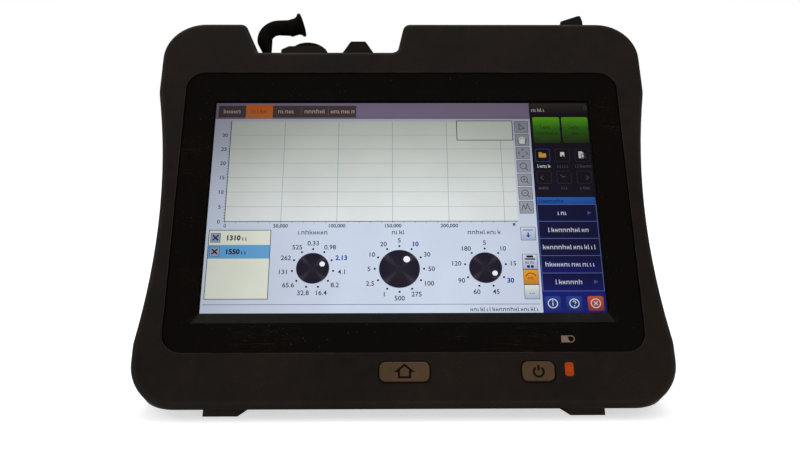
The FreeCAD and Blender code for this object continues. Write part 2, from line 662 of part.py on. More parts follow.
def screw(x, z, head_y, length, head_r=SCREW_HEAD_R, head_t=SCREW_HEAD_T):
    """Pan-head screw driven forwards, its head's underside at head_y, with a cross recess."""
    shank = rod(SCREW_R - 0.02, (x, head_y - length, z), (x, head_y + 0.2, z))
    head = rod(head_r, (x, head_y, z), (x, head_y + head_t, z))
    head = head.makeFillet(0.5, [max(edges_at(head, "Y", head_y + head_t), key=lambda edge: edge.Length)])
    slot_y = head_y + head_t - 0.8
    reach = head_r * 0.6
    head = head.cut(box(x - reach, x + reach, slot_y, slot_y + OVER, z - 0.3, z + 0.3))
    head = head.cut(box(x - 0.3, x + 0.3, slot_y, slot_y + OVER, z - reach, z + reach))
    return head.fuse(shank)


def case_screws():
    length = CASE_SCREW_SEAT + SCREW_BITE
    return [screw(x, z, CASE_SCREW_SEAT_Y, length) for x, z in case_screw_places()]


# ---------------------------------------------------------------- display
def bezel_panel():
    middle_z = (BEZEL_LOW_Z + BEZEL_HIGH_Z) / 2
    outline = rectangle(0, middle_z, BEZEL_W, BEZEL_HIGH_Z - BEZEL_LOW_Z, BEZEL_R)
    panel = plate(outline, BEZEL_FRONT, BEZEL_BACK)
    panel = panel.makeFillet(0.3, edges_at(panel, "Y", BEZEL_FRONT))
    grow = BEZEL_SLOPE_W / BEZEL_SLOPE_D
    slope = []
    for y in (BEZEL_FRONT - 0.1, BEZEL_FRONT + BEZEL_SLOPE_D):
        spread = 2 * grow * (BEZEL_FRONT + BEZEL_SLOPE_D - y)
        step = rectangle(0, VIEW_Z, VIEW_W + spread, VIEW_H + spread, 0.6 + spread / 4)
        slope.append(rounded_wire(step, y))
    panel = panel.cut(Part.makeLoft(slope, True, True))
    panel = panel.cut(plate(rectangle(0, VIEW_Z, VIEW_W, VIEW_H, 0.6), BEZEL_FRONT, BEZEL_BACK + OVER))
    back = rectangle(0, VIEW_Z, GLASS_W + 2 * FIT_GAP, GLASS_H + 2 * FIT_GAP, 1.5 + FIT_GAP)
    return panel.cut(plate(back, LIP_BACK, BEZEL_BACK + OVER))


def display_gasket():
    hole_w = VIEW_W + 1.0
    hole_h = VIEW_H + 1.0
    outer = rectangle(0, VIEW_Z, hole_w + 2 * GASKET_W, hole_h + 2 * GASKET_W, 1.0)
    hole = rectangle(0, VIEW_Z, hole_w, hole_h, 0.5)
    return plate(outer, LIP_BACK, GLASS_FRONT).cut(plate(hole, LIP_BACK - OVER, GLASS_FRONT + OVER))


def touch_glass():
    return plate(rectangle(0, VIEW_Z, GLASS_W, GLASS_H, 1.5), GLASS_FRONT, LCD_FRONT)


def lcd_module():
    return plate(rectangle(0, VIEW_Z, LCD_W, LCD_H, 0.8), LCD_FRONT, CHASSIS_FRONT)


def mid_chassis():
    middle = (CHASSIS_LOW_Z + CHASSIS_HIGH_Z) / 2
    outline = rectangle(0, middle, LCD_W - 1.0, CHASSIS_HIGH_Z - CHASSIS_LOW_Z, 4.0)
    sheet = plate(outline, CHASSIS_FRONT, CHASSIS_BACK)
    for x, z in chassis_screw_places():
        sheet = sheet.cut(rod(SCREW_R + 0.1, (x, CHASSIS_FRONT - OVER, z), (x, CHASSIS_BACK + OVER, z)))
    for x in (-40.0, 20.0):
        window = rectangle(x, middle, 30.0, 20.0, 3.0)
        sheet = sheet.cut(plate(window, CHASSIS_FRONT - OVER, CHASSIS_BACK + OVER))
    return sheet


def internal_screws():
    short = CHASSIS_BACK - FRONT_WALL - 0.5
    screws = [screw(x, z, CHASSIS_BACK, short) for x, z in chassis_screw_places()]
    key_back = KEY_BOARD_Y + BOARD_T
    return screws + [screw(x, KEY_Z, key_back, key_back - FRONT_WALL - 0.5) for x in KEY_BOSS_X]


# ---------------------------------------------------------------- electronics
def main_board():
    middle_x = (BOARD_LEFT + BOARD_RIGHT) / 2
    middle_z = (BOARD_LOW_Z + BOARD_HIGH_Z) / 2
    outline = rectangle(middle_x, middle_z, BOARD_RIGHT - BOARD_LEFT, BOARD_HIGH_Z - BOARD_LOW_Z, 2.0)
    chips = [(-30.0, 60.0, 24.0, 24.0, 2.6), (14.0, 70.0, 16.0, 16.0, 1.8), (38.0, 52.0, 12.0, 18.0, 1.4),
             (30.0, 112.0, 30.0, 22.0, 4.0), (-4.0, 44.0, 10.0, 8.0, 1.6)]
    pieces = [plate(outline, BOARD_FRONT, BOARD_BACK)]
    for x, z, width, height, thick in chips:
        pieces.append(plate(rectangle(x, z, width, height, 0.5), BOARD_BACK - 0.2, BOARD_BACK + thick))
    return fuse(pieces)


def board_standoffs():
    return [rod(2.5, (x, CHASSIS_BACK, z), (x, BOARD_FRONT, z)) for x, z in board_post_places()]


def optical_module():
    left = PORT_ONE_X - MODULE_LEFT_RUN
    right = PORT_TWO_X + MODULE_RIGHT_RUN
    front = BOARD_BACK + 0.3
    low = BATTERY_Z + HOLD_H / 2 + BAY_WALL + 1.7
    top = BAY_FLOOR_Z - WALL - 3.5
    back = front + MODULE_T
    head_low = BOARD_HIGH_Z + 1.0
    head_front = CHASSIS_BACK + SCREW_HEAD_T + 0.5
    profile = [(front, low), (back, low), (back, top), (head_front, top),
               (head_front, head_low), (front, head_low)]
    body = side_prism(profile, left, right)
    for x in (PORT_ONE_X, PORT_TWO_X):
        body = body.cut(rod(SLEEVE_R + 0.4, (x, PORT_Y, top - 2.0), (x, PORT_Y, top + OVER)))
    return body


def battery_pack():
    pack = plate(rectangle(0, BATTERY_Z, BATTERY_W, BATTERY_H), BATTERY_FRONT_Y, BATTERY_BACK_Y)
    return pack.makeFillet(2.0, pack.Edges)


def battery_contacts():
    return contact_block(0.0, HOLD_FRONT_Y - BAY_WALL - 1.2, HOLD_FRONT_Y)


def battery_door():
    middle_z = (DOOR_LOW_Z + DOOR_HIGH_Z) / 2
    door = plate(rectangle(0, middle_z, DOOR_W, DOOR_HIGH_Z - DOOR_LOW_Z), DOOR_FRONT_Y, RECESS_FLOOR_Y)
    for side in (-1, 1):
        hole = rod(SCREW_R + 0.1, (side * DOOR_SCREW_X, DOOR_FRONT_Y - OVER, DOOR_SCREW_Z),
                   (side * DOOR_SCREW_X, RECESS_FLOOR_Y + OVER, DOOR_SCREW_Z))
        sink = rod(SCREW_HEAD_R + 0.2, (side * DOOR_SCREW_X, DOOR_SCREW_SEAT_Y, DOOR_SCREW_Z),
                   (side * DOOR_SCREW_X, RECESS_FLOOR_Y + OVER, DOOR_SCREW_Z))
        door = door.cut(hole).cut(sink)
    # finger grooves
    for index in range(GROOVE_COUNT):
        z = DOOR_LOW_Z + 2 * GROOVE_PITCH + GROOVE_PITCH * index
        y = RECESS_FLOOR_Y + GROOVE_R / 2
        door = door.cut(rod(GROOVE_R, (-CONTACT_W / 2, y, z), (CONTACT_W / 2, y, z)))
    return door


def battery_door_screws():
    length = DOOR_SCREW_SEAT_Y - LEDGE_Y + 3.5
    return [screw(side * DOOR_SCREW_X, DOOR_SCREW_Z, DOOR_SCREW_SEAT_Y, length, head_t=DOOR_SCREW_HEAD_T)
            for side in (-1, 1)]


def speaker():
    places = vent_places()
    middle_z = (places[0] + places[-1]) / 2
    inner_y = BACK_Y - WALL
    basket = rod(SPEAKER_R, (0, inner_y - SPEAKER_T, middle_z), (0, inner_y, middle_z))
    cone_y = inner_y - SPEAKER_T / 2
    return basket.cut(rod(SPEAKER_R - SPEAKER_RIM, (0, cone_y, middle_z), (0, inner_y + OVER, middle_z)))


# ---------------------------------------------------------------- keys
def key(x, width):
    flange_y = FRONT_WALL + 0.3
    cap = plate(rectangle(x, KEY_Z, width, KEY_H, KEY_R), -KEY_PROUD, flange_y + 0.1)
    cap = cap.makeFillet(0.5, edges_at(cap, "Y", -KEY_PROUD))
    flange = rectangle(x, KEY_Z, width + 2 * KEY_FLANGE, KEY_H + 2 * KEY_FLANGE, KEY_R + KEY_FLANGE)
    plunger = rod(1.0, (x, flange_y, KEY_Z), (x, flange_y + KEY_FLANGE + 0.25, KEY_Z))
    return fuse([cap, plate(flange, flange_y, flange_y + KEY_FLANGE), plunger])


def home_button():
    return key(HOME_X, HOME_W)


def power_button():
    return key(POWER_X, POWER_W)


def key_board():
    left = HOME_X - 12.0
    right = LIGHT_X + 4.5
    middle_z = (KEY_BOARD_LOW_Z + KEY_BOARD_HIGH_Z) / 2
    outline = rectangle((left + right) / 2, middle_z, right - left, KEY_BOARD_HIGH_Z - KEY_BOARD_LOW_Z, 1.0)
    board = plate(outline, KEY_BOARD_Y, KEY_BOARD_Y + BOARD_T)
    for x in KEY_BOSS_X:
        board = board.cut(rod(SCREW_R + 0.1, (x, KEY_BOARD_Y - OVER, KEY_Z),
                              (x, KEY_BOARD_Y + BOARD_T + OVER, KEY_Z)))
    return board


def key_switches():
    switches = []
    for x in (HOME_X, POWER_X):
        middle_y = KEY_BOARD_Y - SWITCH_T / 2
        base = plate(rectangle(x, KEY_Z, 2.4 * SWITCH_R, 2.4 * SWITCH_R, 0.3), middle_y, KEY_BOARD_Y)
        dome = rod(SWITCH_R / 2, (x, KEY_BOARD_Y - SWITCH_T, KEY_Z), (x, middle_y, KEY_Z))
        switches.append(fuse([base, dome]))
    return switches


def light_pipe():
    pipe = plate(rectangle(LIGHT_X, LIGHT_Z, LIGHT_W, LIGHT_H, 0.8), -0.1, KEY_BOARD_Y - 0.9)
    return pipe.makeFillet(0.2, edges_at(pipe, "Y", -0.1))


def status_led():
    return plate(rectangle(LIGHT_X, LIGHT_Z, 2.0, 3.2, 0.2), KEY_BOARD_Y - 0.8, KEY_BOARD_Y)


# ---------------------------------------------------------------- optical ports
def port_panel():
    """Part of the bay's floor, with a ledge that bears on the housing's floor from inside."""
    low = BAY_FLOOR_Z - WALL
    front = FRONT_WALL + FIT_GAP
    floor = box(PANEL_LEFT, PANEL_RIGHT, front, FRONT_D, low, BAY_FLOOR_Z)
    ledge = box(PANEL_LEFT - PANEL_LEDGE, PANEL_RIGHT + PANEL_LEDGE, front, FRONT_D - FIT_GAP,
                low - PANEL_LEDGE_T, low)
    panel = fuse([floor, ledge])
    for x in (PORT_ONE_X, PORT_TWO_X):
        panel = panel.cut(rod(STEM_R + 0.1, (x, PORT_Y, low - WALL), (x, PORT_Y, BAY_FLOOR_Z + OVER)))
    return panel


def port_guard():
    """Grey shield in front of the first port, hollowed round its flange."""
    low = BAY_FLOOR_Z
    top = low + GUARD_H
    shoulder = top - GUARD_SLOPE_H
    left = PORT_ONE_X - GUARD_LEFT
    right = PORT_ONE_X + GUARD_RIGHT
    corners = [(left, low, 0.0), (right, low, 0.0), (right, shoulder, 0.4),
               (PORT_ONE_X + GUARD_TOP_RIGHT, top, 0.8), (PORT_ONE_X - GUARD_TOP_LEFT, top, 0.8),
               (left, shoulder, 0.9)]
    block = plate(corners, GUARD_Y, PORT_Y - COLLAR_R + 1.0)
    return block.cut(rod(FLANGE_R + 0.3, (PORT_ONE_X, PORT_Y, low - OVER), (PORT_ONE_X, PORT_Y, top + OVER)))


def sleeve_holder(x, foot_profile):
    """Turned port body: foot_profile runs up the outside from the stem's top to the holder's foot."""
    low = BAY_FLOOR_Z - STEM_DROP
    holder_top = BAY_FLOOR_Z + COLLAR_H - HOLDER_DROP
    bore = SLEEVE_R + 0.02
    profile = [(bore, low), (STEM_R, low), (STEM_R, BAY_FLOOR_Z)] + foot_profile
    profile += [(HOLDER_R, holder_top), (bore, holder_top)]
    return turned(profile, x, PORT_Y)


def port_one_collar():
    floor = BAY_FLOOR_Z + 1.4
    top = BAY_FLOOR_Z + COLLAR_H
    inner = COLLAR_R - COLLAR_WALL
    flange = BAY_FLOOR_Z + FLANGE_H
    cup = [(FLANGE_R, BAY_FLOOR_Z), (FLANGE_R, flange - 0.6), (FLANGE_R - 0.6, flange), (COLLAR_R, flange),
           (COLLAR_R, top - 0.8), (COLLAR_R - 0.8, top), (inner, top), (inner, floor), (HOLDER_R, floor)]
    return sleeve_holder(PORT_ONE_X, cup)


def port_sleeve(x, height):
    """Ceramic tube that lines two ferrules up, ending at a height above the bay floor."""
    low = BAY_FLOOR_Z - SLEEVE_DROP
    top = BAY_FLOOR_Z + height
    profile = [(FERRULE_R, low), (SLEEVE_R, low), (SLEEVE_R, top), (FERRULE_R, top)]
    return turned(profile, x, PORT_Y)


def port_one_sleeve():
    return port_sleeve(PORT_ONE_X, COLLAR_H - HOLDER_DROP)


def port_two_adapter():
    half = ADAPTER_W / 2
    plate_half = CAP_TWO_W / 2
    flange = box(PORT_TWO_X - plate_half, PORT_TWO_X + plate_half,
                 PORT_Y - CAP_TWO_D / 2, PORT_Y + CAP_TWO_D / 2,
                 BAY_FLOOR_Z, BAY_FLOOR_Z + ADAPTER_FLANGE)
    block = box(PORT_TWO_X - half, PORT_TWO_X + half, PORT_Y - half, PORT_Y + half,
                BAY_FLOOR_Z, BAY_FLOOR_Z + ADAPTER_H)
    stem = rod(STEM_R, (PORT_TWO_X, PORT_Y, BAY_FLOOR_Z - STEM_DROP), (PORT_TWO_X, PORT_Y, BAY_FLOOR_Z))
    body = fuse([flange, block, stem])
    return body.cut(rod(SLEEVE_R + 0.02, (PORT_TWO_X, PORT_Y, BAY_FLOOR_Z - 3 * WALL),
                        (PORT_TWO_X, PORT_Y, BAY_FLOOR_Z + ADAPTER_H + OVER)))


def port_two_sleeve():
    return port_sleeve(PORT_TWO_X, ADAPTER_H)


def port_two_cap():
    low = BAY_FLOOR_Z + ADAPTER_FLANGE + 0.2
    top = low + CAP_TWO_H
    half = CAP_TWO_W / 2
    top_half = CAP_TWO_TOP_W / 2
    corners = [(PORT_TWO_X - half, low, 0.0), (PORT_TWO_X + half, low, 0.0),
               (PORT_TWO_X + top_half, top, 0.8), (PORT_TWO_X - top_half, top, 0.8)]
    cap = plate(corners, PORT_Y - CAP_TWO_D / 2, PORT_Y + CAP_TWO_D / 2)
    half_pocket = ADAPTER_W / 2 + 0.3
    pocket_top = BAY_FLOOR_Z + ADAPTER_H + 0.3
    return cap.cut(box(PORT_TWO_X - half_pocket, PORT_TWO_X + half_pocket, PORT_Y - half_pocket,
                       PORT_Y + half_pocket, low - OVER, pocket_top))


def cap_post():
    pin = rod(POST_R, (POST_X, PORT_Y, BAY_FLOOR_Z - WALL + 1.0), (POST_X, PORT_Y, BAY_FLOOR_Z + POST_H))
    collar = rod(STRAP_R - 0.4, (POST_X, PORT_Y, BAY_FLOOR_Z), (POST_X, PORT_Y, BAY_FLOOR_Z + 0.5))
    return fuse([pin, collar])


def dust_cap():
    """Rubber strap that rises from its post, bends over and ends in an open flared cap."""
    foot = Vector(POST_X, PORT_Y, BAY_FLOOR_Z + 0.8)
    up = Vector(0, 0, 1)
    right = Vector(1, 0, 0)
    knee = foot + up * (CAP_RISE / 2)
    top = foot + up * CAP_RISE - right * CAP_LEAN
    leg = top - knee
    lean = math.atan2(CAP_LEAN, CAP_RISE / 2)
    stem = Part.makeCylinder(STRAP_R, CAP_RISE / 2, foot, up)
    round_knee = Part.makeSphere(STRAP_R, knee)
    swell = Part.makeCone(STRAP_R, CAP_BEND_TUBE_R, leg.Length, knee, leg)
    section = Part.Face(Part.Wire([Part.makeCircle(CAP_BEND_TUBE_R, top, leg)]))
    hub = top + (right * math.cos(lean) + up * math.sin(lean)) * CAP_BEND_R
    bend = section.revolve(hub, Vector(0, 1, 0), 90.0 + math.degrees(lean))
    elbow = hub + up * CAP_BEND_R
    neck = elbow + right * CAP_RUN
    run = Part.makeCone(CAP_BEND_TUBE_R, CAP_TUBE_R, CAP_RUN, elbow, right)
    strap = fuse([stem, round_knee, swell, bend, run])
    strap = strap.cut(rod(POST_R + PIN_FIT, (POST_X, PORT_Y, BAY_FLOOR_Z),
                          (POST_X, PORT_Y, BAY_FLOOR_Z + POST_H + 0.2)))
    # the mouth is turned about its own axis, then tilted up at the neck
    hub_r = CAP_TUBE_R + 0.25
    mouth = [(0.0, -1.2), (hub_r, -1.2), (hub_r, 2.4), (hub_r + 0.5, 3.4), (CAP_RIM_R, CAP_CUP_LEN - 0.9),
             (CAP_RIM_R, CAP_CUP_LEN), (CAP_RIM_R - 1.8, CAP_CUP_LEN), (CAP_RIM_R - 2.6, 1.0), (0.0, 1.0)]
    cup = turned(mouth, 0.0, 0.0)
    cup.rotate(Vector(0, 0, 0), Vector(0, 1, 0), 90.0 - CAP_RIM_TILT)
    cup.translate(neck)
    return fuse([strap, cup])


# ---------------------------------------------------------------- stylus
def stylus():
    low = TUBE_TOP_Z - TUBE_LEN + 3.0
    shaft = rod(STYLUS_R, (STYLUS_X, STYLUS_Y, low), (STYLUS_X, STYLUS_Y, CASE_H + 1.0))
    shaft = shaft.makeChamfer(1.6, edges_at(shaft, "Z", low))
    seat = CASE_H + 0.3
    top = CASE_H + STYLUS_HEAD_H
    left = STYLUS_X - STYLUS_HEAD_LEFT
    right = STYLUS_X + STYLUS_HEAD_RIGHT
    corners = [(left, seat, 0.5), (right, seat, 0.5), (right, top - 3.0, 0.8), (right - 0.7, top, 0.4),
               (right - 1.9, top, 0.6), (left, top - 3.0, 0.6)]
    return fuse([plate(corners, STYLUS_Y - STYLUS_HEAD_D / 2, STYLUS_Y + STYLUS_HEAD_D / 2), shaft])


def stylus_tube():
    low = TUBE_TOP_Z - TUBE_LEN
    tube = rod(TUBE_R, (STYLUS_X, STYLUS_Y, low), (STYLUS_X, STYLUS_Y, TUBE_TOP_Z))
    return tube.cut(rod(STYLUS_BORE_R, (STYLUS_X, STYLUS_Y, low + 1.0),
                        (STYLUS_X, STYLUS_Y, TUBE_TOP_Z + OVER)))


# ---------------------------------------------------------------- side ports
PORT_BACK_X = IO_BOARD_X + BOARD_T
PORT_MOUTH_X = waist_x() - SIDE_SKIN - FIT_GAP


def socket(y_size, z_size, z, hole_y, hole_z):
    """Connector body on the port board with a rectangular mouth to the right."""
    y = side_port_y()
    body = box(PORT_BACK_X, PORT_MOUTH_X, y - y_size / 2, y + y_size / 2, z - z_size / 2, z + z_size / 2)
    return body.cut(box(PORT_MOUTH_X - SOCKET_DEPTH, PORT_MOUTH_X + OVER, y - hole_y / 2, y + hole_y / 2,
                        z - hole_z / 2, z + hole_z / 2))


def usb_ports():
    shells = []
    y = side_port_y()
    for z in USB_Z:
        shell = socket(USB_W, USB_H, z, USB_W - 2 * USB_SHEET, USB_H - 2 * USB_SHEET)
        tongue = box(PORT_MOUTH_X - SOCKET_DEPTH - 0.5, PORT_MOUTH_X - 2 * USB_SHEET,
                     y - USB_TONGUE_W / 2, y + USB_TONGUE_W / 2, z - 1.9, z - 0.1)
        shells.append(fuse([shell, tongue]))
    return shells


def ethernet_port():
    return socket(JACK_LAN_W, JACK_LAN_H, LAN_Z, LAN_HOLE_W, LAN_HOLE_H)


def dc_jack():
    y = side_port_y()
    body = box(PORT_BACK_X, PORT_MOUTH_X, y - DC_W / 2, y + DC_W / 2, DC_Z - DC_W / 2, DC_Z + DC_W / 2)
    body = body.cut(rod(DC_BORE_R, (PORT_MOUTH_X - SOCKET_DEPTH, y, DC_Z), (PORT_MOUTH_X + OVER, y, DC_Z)))
    pin = rod(DC_PIN_R, (PORT_MOUTH_X - SOCKET_DEPTH - 0.5, y, DC_Z), (PORT_MOUTH_X - 1.0, y, DC_Z))
    return fuse([body, pin])


def io_board():
    y = side_port_y()
    half = JACK_LAN_W / 2
    return box(IO_BOARD_X, PORT_BACK_X, y - half, y + half, SIDE_LOW_Z + OVER, SIDE_HIGH_Z - OVER)


def side_door():
    skin_end = SIDE_HINGE_Y - SIDE_BARREL_R - 0.5
    low = SIDE_LOW_Z + SIDE_LUG_H + FIT_GAP
    high = SIDE_HIGH_Z - SIDE_LUG_H - FIT_GAP
    skin = side_region(0.0, SIDE_DOOR_T, SIDE_Y + FIT_GAP, skin_end,
                       SIDE_LOW_Z + FIT_GAP, SIDE_HIGH_Z - FIT_GAP)
    web = box(SIDE_HINGE_X + SIDE_BARREL_R / 3, SIDE_HINGE_X + SIDE_BARREL_R,
              skin_end - OVER / 2, SIDE_HINGE_Y, low, high)
    barrel = rod(SIDE_BARREL_R, (SIDE_HINGE_X, SIDE_HINGE_Y, low), (SIDE_HINGE_X, SIDE_HINGE_Y, high))
    door = fuse([skin, web, barrel])
    return door.cut(rod(SIDE_PIN_R + PIN_FIT, (SIDE_HINGE_X, SIDE_HINGE_Y, SIDE_LOW_Z),
                        (SIDE_HINGE_X, SIDE_HINGE_Y, SIDE_HIGH_Z)))


def side_door_pin():
    return rod(SIDE_PIN_R, (SIDE_HINGE_X, SIDE_HINGE_Y, SIDE_LOW_Z + 0.3),
               (SIDE_HINGE_X, SIDE_HINGE_Y, SIDE_HIGH_Z - 0.3))


# ---------------------------------------------------------------- stand and feet
STAND_OPEN = LEAN + STAND_SPLAY


def swing(shape, angle):
    """Turn a piece of the stand about its hinge."""
    shape.rotate(Vector(0, HINGE_Y, HINGE_Z), Vector(1, 0, 0), angle)
    return shape


def stand_reach():
    """Distance from the hinge to the bench, along the open stand."""
    lean = math.radians(LEAN)
    height = (HINGE_Z + FOOT_DROP) * math.cos(lean) - (HINGE_Y - FOOT_Y) * math.sin(lean)
    return height / math.cos(math.radians(STAND_SPLAY))


def stand_blank(x0, x1, y_inset=0.0):
    half = STAND_T / 2 - y_inset
    return box(x0, x1, HINGE_Y - half, HINGE_Y + half, HINGE_Z - stand_reach() - 5.0, HINGE_Z)


def kickstand():
    half = STAND_W / 2
    leg = stand_blank(-half, half)
    leg = fuse([leg, rod(HINGE_BARREL_R, (-half, HINGE_Y, HINGE_Z), (half, HINGE_Y, HINGE_Z))])
    tip_z = HINGE_Z - stand_reach()
    leg = leg.cut(rod(STAND_NOTCH_R, (0, HINGE_Y - STAND_T, tip_z), (0, HINGE_Y + STAND_T, tip_z)))
    panel = rectangle(0, (HINGE_Z + tip_z) / 2 + 2.0, STAND_W - 16.0, stand_reach() - 34.0, 4.0)
    leg = leg.cut(plate(panel, HINGE_Y + STAND_T / 2 - 1.2, HINGE_Y + STAND_T))
    for side in (-1, 1):
        leg = leg.cut(rod(HINGE_PIN_R + PIN_FIT, (side * (half - HINGE_PIN_LEN / 2 - 0.2), HINGE_Y, HINGE_Z),
                          (side * (half + OVER), HINGE_Y, HINGE_Z)))
    return swing(leg, STAND_OPEN).cut(under_floor(STAND_PAD_T))


def kickstand_foot_pads():
    pads = []
    for side in (-1, 1):
        x0, x1 = sorted((side * STAND_PAD_IN_X, side * STAND_PAD_OUT_X))
        strip = swing(stand_blank(x0, x1, 0.3), STAND_OPEN)
        pads.append(strip.common(under_floor(STAND_PAD_T)).cut(under_floor()))
    return pads


def kickstand_pins():
    pins = []
    for side in (-1, 1):
        inner = side * (STAND_W / 2 - HINGE_PIN_LEN / 2)
        outer = side * (STAND_W / 2 + HINGE_PIN_LEN / 2)
        pins.append(rod(HINGE_PIN_R, (inner, HINGE_Y, HINGE_Z), (outer, HINGE_Y, HINGE_Z)))
    return pins


def front_feet():
    feet = []
    for side in (-1, 1):
        outline = [(side * FOOT_IN_X, CHIN_D), (side * FOOT_FLAT_X, FOOT_LOW_Z),
                   (side * FOOT_OUT_X, FOOT_LOW_Z), (side * FOOT_OUT_X, FRONT_D), (side * FOOT_IN_X, FRONT_D)]
        points = [Vector(x, FOOT_Y, z) for x, z in outline]
        foot = Part.Face(Part.makePolygon(points + points[:1])).extrude(Vector(0, FOOT_D, 0))
        feet.append(foot.common(under_case()).cut(under_floor()))
    return feet


def rear_pads():
    pads = []
    for x, z in [(x, z) for x in (-PAD_X, PAD_X) for z in PAD_Z]:
        pad = rod(PAD_R, (x, BACK_Y, z), (x, BACK_Y + PAD_T, z))
        pads.append(pad.makeFillet(0.8, edges_at(pad, "Y", BACK_Y + PAD_T)))
    return pads


# ---------------------------------------------------------------- lean back and write
PIECES = {
    "front_housing": front_housing,
    "rear_housing": rear_housing,
    "case_seal": case_seal,
    "case_screws": case_screws,
    "bezel_panel": bezel_panel,
    "display_gasket": display_gasket,
    "touch_glass": touch_glass,
    "lcd_module": lcd_module,
    "mid_chassis": mid_chassis,
    "internal_screws": internal_screws,
    "main_board": main_board,
    "board_standoffs": board_standoffs,
    "optical_module": optical_module,
    "battery_pack": battery_pack,
    "battery_contacts": battery_contacts,
    "battery_door": battery_door,
    "battery_door_screws": battery_door_screws,
    "speaker": speaker,
    "home_button": home_button,
    "power_button": power_button,
    "key_board": key_board,
    "key_switches": key_switches,
    "light_pipe": light_pipe,
    "status_led": status_led,
    "port_panel": port_panel,
    "port_guard": port_guard,
    "port_one_collar": port_one_collar,
    "port_one_sleeve": port_one_sleeve,
    "port_two_adapter": port_two_adapter,
    "port_two_sleeve": port_two_sleeve,
    "port_two_cap": port_two_cap,
    "cap_post": cap_post,
    "dust_cap": dust_cap,
    "stylus": stylus,
    "stylus_tube": stylus_tube,
    "io_board": io_board,
    "usb_ports": usb_ports,
    "ethernet_port": ethernet_port,
    "dc_jack": dc_jack,
    "side_door": side_door,
    "side_door_pin": side_door_pin,
    "kickstand": kickstand,
    "kickstand_pins": kickstand_pins,
    "kickstand_foot_pads": kickstand_foot_pads,
    "front_feet": front_feet,
    "rear_pads": rear_pads,
}


def stand_up(shape):
    """Lean the piece back and set the bench at z = 0."""
    lean = math.radians(LEAN)
    shape.rotate(Vector(0, 0, 0), Vector(1, 0, 0), -LEAN)
    shape.translate(Vector(0, 0, FOOT_Y * math.sin(lean) + FOOT_DROP * math.cos(lean)))
    return shape


def main():
    os.makedirs("parts", exist_ok=True)
    finished = {}
    for name, build in PIECES.items():
        made = build()
        solids = made if isinstance(made, list) else [made]
        shape = solids[0] if len(solids) == 1 else Part.makeCompound(solids)
        finished[name] = stand_up(shape)
    case = Part.makeCompound([finished["front_housing"], finished["rear_housing"], finished["rear_pads"]])
    bounds = case.optimalBoundingBox(False)
    middle_y = (bounds.YMin + bounds.YMax) / 2
    print("shift in y", -middle_y)
    for name, shape in finished.items():
        shape.translate(Vector(0, -middle_y, 0))
        shape.exportStep(os.path.join("parts", name + ".step"))
        print(name, len(shape.Solids), round(shape.Volume, 1), shape.isValid())


main()
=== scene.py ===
"""An optical time domain reflectometer, leaning back on its kickstand on a pale studio floor.

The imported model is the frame. Each class below looks after one sub-assembly: it gives the nodes
their finishes and builds the fine pieces that sit on them. Sizes are in millimetres on the case's
own face, and Face turns them into places in the row frame.
"""

import json
import logging
import math
from dataclasses import dataclass
from enum import Enum
from typing import Sequence

import bmesh
import bpy
from bpy.types import ID, Material, Node, NodeSocket, NodeTree, Object, Scene
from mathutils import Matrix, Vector


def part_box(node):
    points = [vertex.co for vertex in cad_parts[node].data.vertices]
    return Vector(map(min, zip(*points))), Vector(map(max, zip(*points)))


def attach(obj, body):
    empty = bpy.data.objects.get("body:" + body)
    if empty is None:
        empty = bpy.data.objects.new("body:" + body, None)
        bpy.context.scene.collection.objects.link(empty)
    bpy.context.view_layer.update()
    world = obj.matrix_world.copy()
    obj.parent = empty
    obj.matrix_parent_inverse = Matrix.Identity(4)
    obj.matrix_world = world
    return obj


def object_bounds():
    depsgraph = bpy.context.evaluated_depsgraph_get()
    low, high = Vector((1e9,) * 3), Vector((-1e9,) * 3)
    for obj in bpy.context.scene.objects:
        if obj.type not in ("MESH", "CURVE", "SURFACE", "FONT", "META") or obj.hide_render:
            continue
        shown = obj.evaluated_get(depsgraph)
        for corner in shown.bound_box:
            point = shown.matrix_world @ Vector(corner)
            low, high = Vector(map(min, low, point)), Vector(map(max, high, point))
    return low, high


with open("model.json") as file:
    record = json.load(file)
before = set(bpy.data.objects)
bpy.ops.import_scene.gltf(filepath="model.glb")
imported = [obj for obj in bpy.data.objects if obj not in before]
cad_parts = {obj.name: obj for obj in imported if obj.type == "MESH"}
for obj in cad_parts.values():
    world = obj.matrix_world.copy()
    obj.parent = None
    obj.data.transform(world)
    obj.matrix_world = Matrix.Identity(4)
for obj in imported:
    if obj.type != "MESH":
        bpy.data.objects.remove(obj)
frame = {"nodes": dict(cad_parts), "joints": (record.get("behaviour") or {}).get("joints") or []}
cad_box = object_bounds()

LOG = logging.getLogger("reflectometer")
MM = 0.001
Point = tuple[float, float]
Triple = tuple[float, float, float]
Colour = tuple[int, int, int]
Rgba = tuple[float, float, float, float]


# ---- places
@dataclass(frozen=True)
class Face:
    """A flat place on the object, with the directions across, up and out of it."""

    origin: Vector
    across: Vector
    up: Vector
    out: Vector

    def at(self, x: float, z: float, lift: float = 0.0) -> Vector:
        """The place in the row frame that lies (x, z) from the middle, lifted off by lift."""
        return self.origin + (self.across * x + self.up * z + self.out * lift) * MM


def joint_axis(name: str) -> Vector:
    """The direction of a joint in the row frame."""
    found = next(joint for joint in frame["joints"] if joint["name"] == name)
    return Vector(found["axis"]).normalized()


def face_of(node: str) -> Face:
    """The plane of a node's front, square to the case's face and centred on the node.

    Args:
        node: name of the CAD node.

    Returns:
        The face, whose out direction points towards the user.
    """
    out = -joint_axis("home_press")
    up = joint_axis("stylus_draw")
    across = up.cross(out)
    vertices = [vertex.co for vertex in frame["nodes"][node].data.vertices]
    middle = Vector()
    for axis in (across, up):
        reach = [axis.dot(place) for place in vertices]
        middle += axis * (min(reach) + max(reach)) / 2
    front = max(out.dot(place) for place in vertices)
    return Face(middle + out * front, across, up, out)


